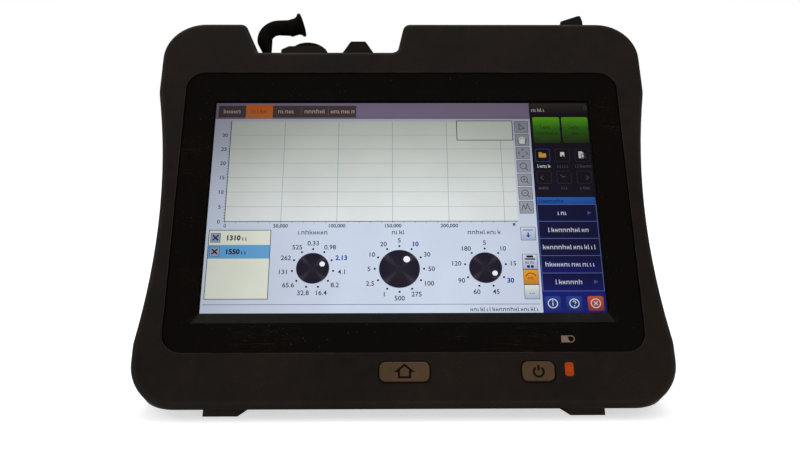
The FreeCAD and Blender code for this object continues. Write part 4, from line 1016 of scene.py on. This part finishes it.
    def piece(self, name: str, body: str, finish: Finish, thick: float = 0.0) -> Object:
        """Turn the shapes into one object.

        Args:
            name: the piece's name.
            body: the CAD body it rides on.
            finish: its finish.
            thick: how far the shapes are raised into solids, in millimetres.

        Returns:
            The finished object.
        """
        if thick > 0:
            bmesh.ops.solidify(self.mesh, geom=self.mesh.faces[:], thickness=-thick * MM)
        mesh = bpy.data.meshes.new(name)
        self.mesh.to_mesh(mesh)
        self.mesh.free()
        mesh.materials.append(finish.material())
        made = linked(name, mesh)
        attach(made, body)
        LOG.info("%s: %d faces", name, len(mesh.polygons))
        return made


# ---- the screen's picture
@dataclass(frozen=True)
class Dial:
    """One round control of the picture: where it is, its numbers and the one that is chosen."""

    middle: Point
    radius: float
    labels: tuple[str, ...]
    chosen: int
    knob: Point
    title: float
    title_height: float = -12.6
    figure: float = 1.9
    dot_gap: float = 1.8
    side_gap: float = 3.4
    digit_gap: float = 0.62
    top_gap: float = 4.3
    gleam_half: float = 16.0
    rim: float = 0.25
    dot: float = 0.42
    knob_share: float = 0.17
    bold: float = 0.035

    def draw(self, art: Drawing) -> None:
        """Draw the dial, its dots and its numbers.

        Args:
            art: the drawing to add to.
        """
        x, z = self.middle
        art.disc(self.middle, self.radius + self.rim, Ink.DIAL_EDGE, 1)
        art.disc(self.middle, self.radius, Ink.DIAL, 2, rim=Ink.DIAL_RIM)
        for turn in range(45, 360, 90):
            first, crest, last = (polar(self.middle, self.radius, turn + side * self.gleam_half)
                                  for side in (-1, 0, 1))
            art.patch([self.middle, first, crest], [Ink.DIAL, Ink.DIAL_RIM, Ink.DIAL_SHEEN], 3)
            art.patch([self.middle, crest, last], [Ink.DIAL, Ink.DIAL_SHEEN, Ink.DIAL_RIM], 3)
        art.disc((x + self.knob[0], z + self.knob[1]), self.knob_share * self.radius, Ink.KNOB, 4)
        for index, label in enumerate(self.labels):
            turn = 90 - 360 * index / len(self.labels)
            art.disc(polar(self.middle, self.radius + self.dot_gap, turn), self.dot, Ink.DIAL, 1)
            way = polar((0.0, 0.0), 1.0, turn)
            wide = self.radius + self.side_gap + self.digit_gap * len(label)
            high = self.radius + self.top_gap
            ink, weight = (Ink.CHOSEN, self.bold) if index == self.chosen else (Ink.NUMBER, art.plain_weight)
            art.number(label, (x + way[0] * wide, z + way[1] * high), self.figure, ink, 1, weight)
        art.word((x, self.title_height), self.title, self.figure, Ink.WORD, 1)


@dataclass
class Screen(Assembly):
    """The picture behind the touch glass: trace window, dials, list and menus."""

    dressed = {SCREEN_BACK: ["lcd_module"]}
    width: float = 152.4
    height: float = 91.44
    border: float = 4.0
    lift: float = 0.06
    split: float = 52.3
    strip_foot: float = 38.3
    field_foot: float = -9.0
    scale_step: float = 6.44
    scale_stops: tuple[float, ...] = (-47.6, -25.8, -4.0, 18.0, 39.8)
    tool_top: float = 37.1
    tool_size: float = 5.5
    tool_pitch: float = 6.05
    tool_line: float = 0.26
    letter: float = 1.9
    small_letter: float = 1.5
    dials: tuple[Dial, ...] = (
        Dial((-34.6, -27.6), 6.1,
             ("0.33", "0.98", "2.13", "4.1", "8.2", "16.4", "32.8", "65.6", "131", "262", "525"),
             2, (3.6, 1.7), 12.0),
        Dial((-1.5, -27.9), 7.6, ("5", "10", "30", "50", "100", "275", "500", "1", "2.5", "5", "10", "20"),
             1, (2.8, 3.9), 5.6),
        Dial((31.4, -27.5), 6.1, ("5", "10", "15", "30", "45", "60", "90", "120", "180"),
             3, (3.5, -2.3), 12.6),
    )

    def add(self) -> None:
        """Draw each part of the picture as a piece of its own."""
        left, middle, right = self.dials
        parts = {"ground": self.ground, "tabs": self.tabs, "trace_window": self.trace_window,
                 "tool_column": self.tool_column, "wave_list": self.wave_list, "dial_left": left.draw,
                 "dial_middle": middle.draw, "dial_right": right.draw, "small_keys": self.small_keys,
                 "side_panel": self.side_panel, "menu": self.menu}
        for name, draw in parts.items():
            art = Drawing(face_of("lcd_module"), self.lift)
            draw(art)
            art.piece("screen_" + name, "case", SCREEN)

    def ground(self, art: Drawing) -> None:
        """The dark border round the lit area, and the pale fields under everything.

        Args:
            art: the drawing to add to.
        """
        half_w, half_h = self.width / 2, self.height / 2
        wide, high = half_w + self.border / 2, half_h + self.border / 2
        art.outline((-wide, -high), (wide, high), self.border, Ink.BORDER, 0)
        art.panel((-half_w, -half_h), (self.split, self.field_foot), Ink.FIELD_LOW, 0)
        art.panel((-half_w, self.field_foot), (self.split, self.strip_foot), Ink.FIELD, 0, foot=Ink.FIELD_LOW)
        art.panel((-half_w, self.strip_foot), (self.split, half_h), Ink.STRIP, 0)
        art.panel((self.split, -half_h), (half_w, 0.0), Ink.MENU_GROUND, 0, foot=Ink.MENU_FOOT)
        art.panel((self.split, 0.0), (half_w, half_h), Ink.PANEL, 0, foot=Ink.PANEL_LOW)
        art.ribbon([(-75.4, -42.3), (51.4, -42.3)], 0.2, Ink.TICK, 1)
        art.word((38.0, -44.3), 26.0, 1.7, Ink.WORD, 1)

    def tabs(self, art: Drawing) -> None:
        """The row of tabs along the top, the second one lit.

        Args:
            art: the drawing to add to.
        """
        art.panel((-76.0, self.strip_foot), (self.split, self.strip_foot + 0.5), Ink.STRIP_EDGE, 1)
        stops = (-75.2, -64.0, -53.0, -41.4, -30.2, -18.8)
        lengths = (7.0, 6.6, 7.2, 8.4, 9.4)
        for index, (left, right, length) in enumerate(zip(stops, stops[1:], lengths)):
            lit = index == 1
            if lit:
                art.panel((left, 38.4), (right, 45.0), Ink.TAB_LIT, 2, foot=Ink.TAB_LIT_FOOT)
            else:
                art.panel((left, 38.9), (right, 44.5), Ink.TAB, 1)
                art.ribbon([(right, 39.4), (right, 44.0)], 0.2, Ink.TAB_LINE, 2)
            ink = Ink.LIT_WORD if lit else Ink.TAB_WORD
            art.word(((left + right) / 2, 41.8), length, self.letter, ink, 3)

    def trace_window(self, art: Drawing) -> None:
        """The empty trace window with its grid, rulers and legend box.

        Args:
            art: the drawing to add to.
        """
        left, right, low, high = -69.4, 45.0, -8.0, 37.0
        art.panel((left, low), (right, high), Ink.PAPER, 1, foot=Ink.PAPER_LOW)
        for x in self.scale_stops:
            art.ribbon([(x, low), (x, high)], 0.22, Ink.GRID, 2)
        for index in range(6):
            z = -1.6 + self.scale_step * index
            art.ribbon([(left, z), (right, z)], 0.2, Ink.GRID_SOFT, 3)
        for end in ((left - 0.1, high + 0.4), (right, low)):
            art.ribbon([(left - 0.1, low), end], 0.28, Ink.AXIS, 4)
        for index in range(35):
            z = low + 1.29 * index
            reach = 1.1 if index % 5 == 0 else 0.6
            art.ribbon([(left - 0.2 - reach, z), (left - 0.2, z)], 0.14, Ink.TICK, 4)
        for index in range(27):
            x = left + 4.36 * index
            art.ribbon([(x, low - 0.8), (x, low - 0.1)], 0.14, Ink.TICK, 4)
        for index in range(7):
            art.number(str(5 * index), (-71.8, low + self.scale_step * index), 1.65, Ink.AXIS, 1)
        art.number("0", (-69.2, -9.8), self.small_letter, Ink.AXIS, 1)
        for index, x in enumerate(self.scale_stops[:4]):
            art.number(f"{50 * (index + 1)},000", (x, -9.8), self.small_letter, Ink.AXIS, 1, weight=0.02)
        art.panel((42.8, -9.9), (43.8, -8.8), Ink.TICK, 1)
        legend = ((22.2, 28.2), (44.9, 37.2))
        art.panel(*legend, Ink.PAPER, 5)
        art.outline(*legend, 0.3, Ink.AXIS, 6)

    def tool_column(self, art: Drawing) -> None:
        """Seven small tools in a column beside the trace window.

        Args:
            art: the drawing to add to.
        """
        left, right = 45.8, 51.4
        x = (left + right) / 2
        half = self.tool_size / 2
        z = [self.tool_top - half - self.tool_pitch * index for index in range(7)]
        for middle in z:
            low, high = middle - half, middle + half
            art.panel((left, low), (right, high), Ink.TOOL, 1)
            art.outline((left + 0.1, low + 0.1), (right - 0.1, high - 0.1), 0.22, Ink.TOOL_LINE, 2)
        line = Ink.AXIS
        pointer = [(x - 0.9, z[0] + 1.4), (x - 0.9, z[0] - 1.3), (x + 1.2, z[0] - 0.6)]
        art.ribbon(pointer, self.tool_line, line, 3, closed=True)
        art.panel((x - 1.2, z[1] - 1.9), (x + 1.1, z[1] + 0.1), Ink.LIST, 3, radius=0.5)
        for step in range(4):
            finger = x - 1.15 + 0.62 * step
            art.panel((finger, z[1] - 0.1), (finger + 0.42, z[1] + 1.6 - 0.3 * abs(step - 1.5)), Ink.LIST, 4)
        palm = [(x - 1.9, z[1]), (x - 1.3, z[1] - 1.9), (x + 1.2, z[1] - 2.0), (x + 1.7, z[1] + 0.6)]
        art.ribbon(palm, 0.25, line, 5)
        for way_x, way_z in ((1, 0), (-1, 0), (0, 1), (0, -1)):
            barbs = [(x + 1.2 * way_x + 0.6 * side * way_z, z[2] + 1.2 * way_z + 0.6 * side * way_x)
                     for side in (1, -1)]
            art.ribbon([barbs[0], (x + 1.9 * way_x, z[2] + 1.9 * way_z), barbs[1]], 0.24, line, 3)
        for spot, extra in ((3, ""), (4, "plus"), (5, "dot")):
            art.arc((x - 0.2, z[spot] + 0.2), 1.3, 0, 360, self.tool_line, line, 3)
            art.ribbon([(x + 0.75, z[spot] - 0.8), (x + 1.7, z[spot] - 1.8)], 0.3, line, 4)
            if extra:
                art.panel((x - 0.8, z[spot] + 0.08), (x + 0.4, z[spot] + 0.32), line, 4)
            if extra == "plus":
                art.panel((x - 0.32, z[spot] - 0.4), (x - 0.08, z[spot] + 0.8), line, 5)
        wave = [(x - 2.0, z[6] - 1.5), (x - 1.1, z[6] + 1.0), (x - 0.3, z[6] - 1.0), (x + 0.4, z[6] + 1.5),
                (x + 1.2, z[6] - 0.9), (x + 2.0, z[6] - 1.5)]
        art.ribbon(wave, self.tool_line, line, 3)

    def wave_list(self, art: Drawing) -> None:
        """A list with two ticked rows, the second one picked.

        Args:
            art: the drawing to add to.
        """
        left, right, low, high = -75.0, -51.2, -40.1, -11.7
        art.panel((left, low), (right, high), Ink.LIST, 1)
        art.panel((left, -23.6), (right, -17.9), Ink.PICKED, 2)
        art.outline((left, low), (right, high), 0.28, Ink.LIST_LINE, 3)
        for z, mark, figures in ((-14.9, Ink.MARK, "1310"), (-20.7, Ink.MARK_DARK, "1550")):
            box = ((-74.2, z - 1.9), (-70.6, z + 1.9))
            art.panel(*box, Ink.BOX, 3)
            art.outline(*box, 0.24, Ink.BOX_LINE, 4)
            for lean, layer in ((1, 5), (-1, 6)):
                art.ribbon([(-73.5, z - 1.1 * lean), (-71.3, z + 1.1 * lean)], 0.6, mark, layer)
            art.number(figures, (-65.6, z), 2.0, Ink.MARK_DARK, 4, weight=0.04)
            art.word((-60.6, z - 0.2), 3.0, self.letter, Ink.MARK_DARK, 4)

    def small_keys(self, art: Drawing) -> None:
        """Four soft keys under the tool column.

        Args:
            art: the drawing to add to.
        """
        left, right = 45.7, 51.4
        x = (left + right) / 2
        for low, high, ink, foot in ((-16.1, -10.6, Ink.SMALL_KEY, Ink.SMALL_KEY_LOW),
                                     (-28.2, -22.0, Ink.SMALL_KEY, Ink.SMALL_KEY_LOW),
                                     (-34.4, -28.4, Ink.AMBER, Ink.AMBER_LOW),
                                     (-40.3, -34.6, Ink.LIST, Ink.SMALL_KEY_LOW)):
            art.panel((left, low), (right, high), ink, 1, foot=foot)
            art.outline((left, low), (right, high), 0.2, Ink.TICK, 4)
        art.ribbon([(x - 1.9, -11.8), (x + 1.9, -11.8)], 0.36, Ink.CHOSEN, 2)
        art.ribbon([(x, -12.8), (x, -14.6)], 0.5, Ink.CHOSEN, 2)
        art.patch([(x - 0.9, -14.0), (x, -15.1), (x + 0.9, -14.0)], Ink.CHOSEN, 3)
        art.panel((x - 1.3, -23.4), (x + 1.3, -22.5), Ink.MARK_DARK, 2, radius=0.3)
        art.panel((x - 2.0, -24.3), (x + 2.0, -23.7), Ink.MARK_DARK, 2)
        art.word((x, -25.3), 3.6, 1.3, Ink.MARK_DARK, 2)
        for side in (-1, 1):
            art.disc((x + 0.75 * side, -27.1), 0.6, Ink.MARK_DARK, 2)
        art.arc((x, -31.8), 2.0, 20, 160, 0.36, Ink.AMBER_WORD, 2)
        art.word((x, -31.7), 2.2, 1.3, Ink.AMBER_WORD, 2)
        for step in (-1, 0, 1):
            art.disc((x + 0.7 * step, -38.0), 0.2, Ink.WORD, 2)

    def side_panel(self, art: Drawing) -> None:
        """Two green start keys and two rows of icons on the dark panel.

        Args:
            art: the drawing to add to.
        """
        art.panel((52.6, 40.0), (76.1, 45.6), Ink.PANEL_TOP, 1, foot=Ink.PANEL)
        art.word((56.0, 42.4), 5.6, 1.7, Ink.PANEL_WORD, 2)
        art.outline((74.9, 42.8), (76.0, 44.2), 0.25, Ink.TICK, 2)
        for left, right, length in ((53.4, 64.4, 8.4), (65.2, 76.0, 2.4)):
            art.panel((left, 26.9), (right, 33.6), Ink.GREEN_MID, 1, foot=Ink.GREEN_FOOT, radius=0.7)
            art.panel((left, 33.2), (right, 39.0), Ink.GREEN, 2, foot=Ink.GREEN_MID, radius=0.7)
            middle = (left + right) / 2
            art.word((middle, 34.3), 5.0, 1.6, Ink.GREEN_WORD, 3)
            art.word((middle, 31.4), length, 1.6, Ink.GREEN_WORD, 3)
        for x in (56.5, 64.5, 72.5):
            for low, high in ((18.2, 24.2), (8.4, 14.2)):
                rim = Ink.BLUE_KEY if x < 60 and low > 10 else Ink.DIM_LINE
                art.panel((x - 3.0, low), (x + 3.0, high), rim, 1, radius=0.8)
                art.panel((x - 2.75, low + 0.25), (x + 2.75, high - 0.25), Ink.PANEL, 2, radius=0.7)
        art.panel((54.9, 20.2), (57.9, 22.1), Ink.FOLDER, 3, radius=0.3)
        art.panel((54.9, 21.9), (56.2, 22.6), Ink.FOLDER, 4, radius=0.2)
        art.panel((63.6, 20.6), (65.3, 22.7), Ink.WHITE_ICON, 3, radius=0.3)
        art.panel((64.2, 20.6), (65.0, 21.2), Ink.PANEL, 4)
        art.patch([(71.0, 19.9), (73.0, 19.9), (73.0, 22.4), (72.4, 23.0), (71.0, 23.0)], Ink.WHITE_ICON, 3)
        art.outline((72.1, 20.2), (73.6, 21.7), 0.3, Ink.DIM, 4)
        for x, z, length, ink in ((56.6, 16.3, 5.0, Ink.WHITE_ICON), (64.4, 16.3, 4.6, Ink.DIM),
                                  (72.4, 16.3, 6.2, Ink.DIM), (56.2, 6.6, 4.4, Ink.DIM),
                                  (64.3, 6.6, 2.6, Ink.DIM), (72.6, 6.6, 4.2, Ink.DIM)):
            art.word((x, z), length, self.small_letter, ink, 2)
        for arrow in ([(56.0, 12.0), (55.0, 11.1), (56.0, 10.2)], [(63.0, 12.4), (64.0, 11.4), (65.2, 11.8)],
                      [(73.2, 12.0), (74.2, 11.1), (73.2, 10.2)]):
            art.ribbon(arrow, 0.3, Ink.DIM, 3)

    def menu(self, art: Drawing) -> None:
        """The blue menu with five rows, and three square keys under it.

        Args:
            art: the drawing to add to.
        """
        left, right = 52.8, 76.0
        art.panel((left, -0.8), (right, 2.4), Ink.HEADER, 1, foot=Ink.HEADER_LOW)
        art.word((58.4, 0.8), 9.6, 1.6, Ink.HEADER_WORD, 2)
        rows = (-0.8, -8.1, -15.4, -22.6, -29.8, -37.1)
        lengths = (3.8, 15.8, 21.0, 20.0, 9.6)
        for index, (high, low) in enumerate(zip(rows, rows[1:])):
            art.panel((left, low), (right, high), Ink.ROW, 1, foot=Ink.ROW_LOW if index > 2 else Ink.ROW)
            art.outline((left, low), (right, high), 0.28, Ink.ROW_LINE, 2)
            z = (high + low) / 2
            arrow = index in (0, 4)
            art.word((62.6 if arrow else 64.4, z), lengths[index], self.letter, Ink.ROW_WORD, 3)
            if arrow:
                art.patch([(72.4, z - 0.8), (74.0, z), (72.4, z + 0.8)], Ink.ARROW, 3)
        keys = ((56.1, Ink.BLUE_KEY, Ink.BLUE_KEY_LOW), (64.2, Ink.BLUE_KEY, Ink.BLUE_KEY_LOW),
                (72.3, Ink.RED_KEY, Ink.RED_KEY_LOW))
        for x, ink, foot in keys:
            art.panel((x - 3.0, -45.0), (x + 3.0, -39.2), ink, 1, foot=foot, radius=0.8)
            art.arc((x, -42.1), 1.75, 0, 360, 0.36, Ink.RING, 2)
        art.panel((55.9, -43.0), (56.3, -41.7), Ink.RING, 3)
        art.disc((56.1, -41.1), 0.26, Ink.RING, 3)
        art.arc((64.2, -41.7), 0.55, 160, -70, 0.34, Ink.RING, 3)
        art.disc((64.2, -43.1), 0.24, Ink.RING, 3)
        for lean, layer in ((1, 4), (-1, 5)):
            art.ribbon([(71.6, -42.1 - 0.7 * lean), (73.0, -42.1 + 0.7 * lean)], 0.36, Ink.RING, layer)


# ---- sub-assemblies
@dataclass
class CaseShell(Assembly):
    """Front and rear housings with their seal, screws and pads."""

    dressed = {CASE: ["front_housing", "rear_housing", "battery_door", "side_door"],
               RUBBER: ["case_seal", "rear_pads"],
               SOLE_WITH_PAINTED_LIGHT: ["front_feet"],
               DARK_STEEL: ["case_screws", "battery_door_screws", "side_door_pin"]}


@dataclass
class FrontPanel(Assembly):
    """Glossy bezel, gasket and cover glass, with the small battery sign."""

    dressed = {BEZEL: ["bezel_panel"], FOAM: ["display_gasket"], GLASS: ["touch_glass"]}
    sign: Point = (60.2, -55.25)
    sign_size: Point = (4.6, 2.3)
    notch: float = 0.7
    line: float = 0.34
    charge: Point = (0.25, -0.08)

    def add(self) -> None:
        """Print the sign: a battery in outline, with its charge filled in."""
        x, z = self.sign
        wide, high = self.sign_size[0] / 2, self.sign_size[1] / 2
        art = Drawing(face_of("bezel_panel"))
        step_x, step_z = x + wide - self.notch, high - self.notch
        body = [(x - wide, z - high), (step_x, z - high), (x + wide, z - step_z),
                (x + wide, z + step_z), (step_x, z + high), (x - wide, z + high)]
        art.ribbon(body, self.line, Ink.WORD, 0, closed=True)
        left, low, top = (x - wide + self.line / 2, z - high + self.line / 2, z + high - self.line / 2)
        foot, head = (x + share * wide for share in self.charge)
        art.patch([(left, low), (foot, low), (head, top), (left, top)], Ink.WORD, 0)
        art.piece("battery_sign", "case", PRINT_PALE)


@dataclass
class Keys(Assembly):
    """Home and power keys with their symbols, switches and the status light."""

    dressed = {KEY: ["home_button", "power_button"], GREEN_BOARD: ["key_board"],
               STEEL: ["key_switches"], LAMP: ["light_pipe", "status_led"]}
    line: float = 0.76
    print_depth: float = 0.04
    # Width, gap and depth of the dark ring that paints the shadow in the gap round each key.
    lip: float = 0.3
    lip_gap: float = 0.25
    lip_depth: float = 0.02
    house: tuple[Point, ...] = ((-2.8, 0.1), (0.0, 2.4), (2.8, 0.1), (2.0, 0.1), (2.0, -2.2), (-2.0, -2.2),
                                (-2.0, 0.1))
    ring: float = 1.8
    ring_turn: Point = (125.0, 415.0)
    key_height: float = 7.3
    key_round: float = 2.2
    flange: float = 1.2

    def add(self) -> None:
        """Lay the painted gap shadows round the keys and print the symbols."""
        self.surround("home_button")
        self.surround("power_button")
        home = Drawing(face_of("home_button"))
        home.ribbon(self.house, self.line, Ink.MARK_DARK, 0, closed=True)
        home.piece("home_symbol", "home_key", DARK_PRINT_AND_SHADE, thick=self.print_depth)
        power = Drawing(face_of("power_button"))
        power.arc((0.0, -0.3), self.ring, *self.ring_turn, self.line, Ink.MARK_DARK, 0)
        power.ribbon([(0.0, 0.2), (0.0, 2.3)], self.line, Ink.MARK_DARK, 0)
        power.piece("power_symbol", "power_key", DARK_PRINT_AND_SHADE, thick=self.print_depth)

    def surround(self, key: str) -> None:
        """Lay a thin dark ring round one key, flush with the case: a painted shadow of the gap round the key.

        Args:
            key: the key's CAD node.
        """
        low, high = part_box(key)
        reach = self.lip_gap + self.lip / 2
        half_w = (high.x - low.x) / 2 / MM - self.flange + reach
        half_h = self.key_height / 2 + reach
        face = face_of(key)
        sunk = (face_of("front_housing").origin - face.origin).dot(face.out)
        art = Drawing(Face(face.origin + face.out * sunk, face.across, face.up, face.out))
        edge = rounded((-half_w, -half_h), (half_w, half_h), self.key_round + reach)
        # Painted shadow: a dark ring laid where the gap round the key falls into shade.
        art.ribbon(edge, self.lip, Ink.MARK_DARK, 0, closed=True)
        art.piece(key.replace("button", "lip"), "case", DARK_PRINT_AND_SHADE, thick=self.lip_depth)


@dataclass
class ConnectorBay(Assembly):
    """Two optical ports with their panel, guard and caps."""

    dressed = {CASE: ["port_panel"],
               CAP_GREY: ["port_guard", "port_two_cap"],
               BLACK: ["port_two_adapter", "cap_post"],
               CERAMIC: ["port_one_sleeve", "port_two_sleeve"],
               RUBBER: ["dust_cap", "port_one_collar"]}


@dataclass
class StylusBay(Assembly):
    """The stylus and the tube that holds it."""

    dressed = {BLACK: ["stylus", "stylus_tube"]}


@dataclass
class SidePorts(Assembly):
    """Sockets behind the side door, on their board."""

    dressed = {STEEL: ["usb_ports", "ethernet_port"], BLACK: ["dc_jack"], GREEN_BOARD: ["io_board"]}


@dataclass
class Stand(Assembly):
    """The kickstand with its pins and foot pads."""

    dressed = {STAND: ["kickstand"], STEEL: ["kickstand_pins"], RUBBER: ["kickstand_foot_pads"]}


@dataclass
class Internals(Assembly):
    """What the housings close in: boards, battery, optical module and what carries them."""

    dressed = {ALLOY: ["mid_chassis", "optical_module"],
               GREEN_BOARD: ["main_board"],
               STEEL: ["board_standoffs", "internal_screws"],
               WRAP: ["battery_pack"],
               GOLD: ["battery_contacts"],
               BLACK: ["speaker"]}


# ---- studio
@dataclass
class Viewpoint:
    """The camera in front of the face, a little below its height."""

    place: Triple = (-5.828, -406.475, 102.456)
    turn: Triple = (84.62425, 0.02696, -0.70872)
    lens: float = 43.81

    def build(self) -> None:
        """Set the camera up."""
        camera = bpy.data.cameras.new("camera")
        camera.lens = self.lens
        camera.clip_start = 0.01
        holder = linked("camera", camera)
        holder.location = Vector(self.place) * MM
        holder.rotation_euler = [math.radians(angle) for angle in self.turn]
        bpy.context.scene.camera = holder


@dataclass(frozen=True)
class Lamp:
    """A soft box: where it is and what it faces in metres, its size and its power."""

    name: str
    place: Triple
    size: Point
    power: float
    aim: Triple = (0.0, 0.0, 0.07)

    def build(self) -> None:
        """Hang the lamp."""
        light = bpy.data.lights.new(self.name, "AREA")
        light.shape = "RECTANGLE"
        light.size, light.size_y = self.size
        light.energy = self.power
        holder = linked(self.name, light)
        holder.location = self.place
        way = Vector(self.aim) - Vector(self.place)
        holder.rotation_euler = way.to_track_quat("-Z", "Y").to_euler()


@dataclass
class Studio:
    """Pale floor, plain white surroundings and soft lamps."""

    fill: float = 0.6
    gleam: float = 0.12
    horizon: float = 0.4
    floor_size: float = 6.0
    paper: Point = (0.70, 0.76)
    paper_glow: float = 0.6
    lamps: tuple[Lamp, ...] = (
        Lamp("overhead", (0.0, 0.25, 1.3), (1.4, 1.0), 6.6),
        Lamp("front", (0.0, -1.6, 0.3), (1.6, 0.5), 4.0),
        Lamp("left", (-1.2, -0.5, 0.7), (0.9, 0.9), 4.4),
        Lamp("right", (1.2, -0.4, 0.6), (0.9, 0.9), 1.8),
    )

    def build(self) -> None:
        """Set the view transform, the surroundings, the floor and the lamps."""
        scene = bpy.context.scene
        scene.view_settings.view_transform = "Standard"
        self.surroundings(scene)
        self.floor(scene)
        for lamp in self.lamps:
            lamp.build()

    def surroundings(self, scene: Scene) -> None:
        """White to the camera, a plain level for the light on the object, softer overhead in gloss.

        Args:
            scene: the scene to light.
        """
        world = bpy.data.worlds.new("surroundings")
        scene.world = world
        world.use_nodes = True
        w = Wiring(world.node_tree)
        path = w.add("ShaderNodeLightPath")
        rise = w.rise(w.add("ShaderNodeTexCoord").outputs["Generated"])
        overhead = w.span(rise, 0.15, 0.7, self.horizon, self.gleam)
        level = w.mix(path.outputs["Is Glossy Ray"], grey(self.fill), overhead)
        w.join(world.node_tree.nodes["Background"], color=w.mix(self.seen(w, path), level, grey(1.0)))

    def seen(self, w: Wiring, path: Node) -> NodeSocket:
        """1 where the camera looks, straight or through glass."""
        return w.larger(path.outputs["Is Camera Ray"], path.outputs["Is Transmission Ray"])

    def floor(self, scene: Scene) -> None:
        """A wide pale sheet at the foot of the object.

        Args:
            scene: the scene it goes into.
        """
        half, foot = self.floor_size / 2, cad_box[0].z
        mesh = bpy.data.meshes.new("floor")
        corners = [(-half, -half, foot), (half, -half, foot), (half, half, foot), (-half, half, foot)]
        mesh.from_pydata(corners, [], [(0, 1, 2, 3)])
        mesh.materials.append(self.floor_paper())
        sheet = linked("floor", mesh)

    def floor_paper(self) -> Material:
        """Pale paper that shows nearly white and keeps the object's shadow.

        Returns:
            The material.
        """
        paper = bpy.data.materials.new("studio paper")
        paper.use_nodes = True
        w = Wiring(paper.node_tree)
        fibre = w.noise(w.place(), 420.0, 4.0)
        seen = self.seen(w, w.add("ShaderNodeLightPath"))
        w.shade(roughness=0.9, specular_ior_level=0.1, base_color=w.mix(fibre, *map(grey, self.paper)),
                emission_color=w.mix(seen, grey(0.0), grey(self.paper_glow)), emission_strength=1.0)
        return paper


def main() -> None:
    """Build every sub-assembly, then the studio round it."""
    logging.basicConfig(level=logging.INFO, format="%(name)s %(message)s")
    assemblies = (Viewpoint(), CaseShell(), FrontPanel(), Keys(), ConnectorBay(), StylusBay(), SidePorts(),
                  Stand(), Internals(), Screen(), Studio())
    for assembly in assemblies:
        assembly.build()
        LOG.info("%s done", type(assembly).__name__)


if __name__ == "__main__":
    main()
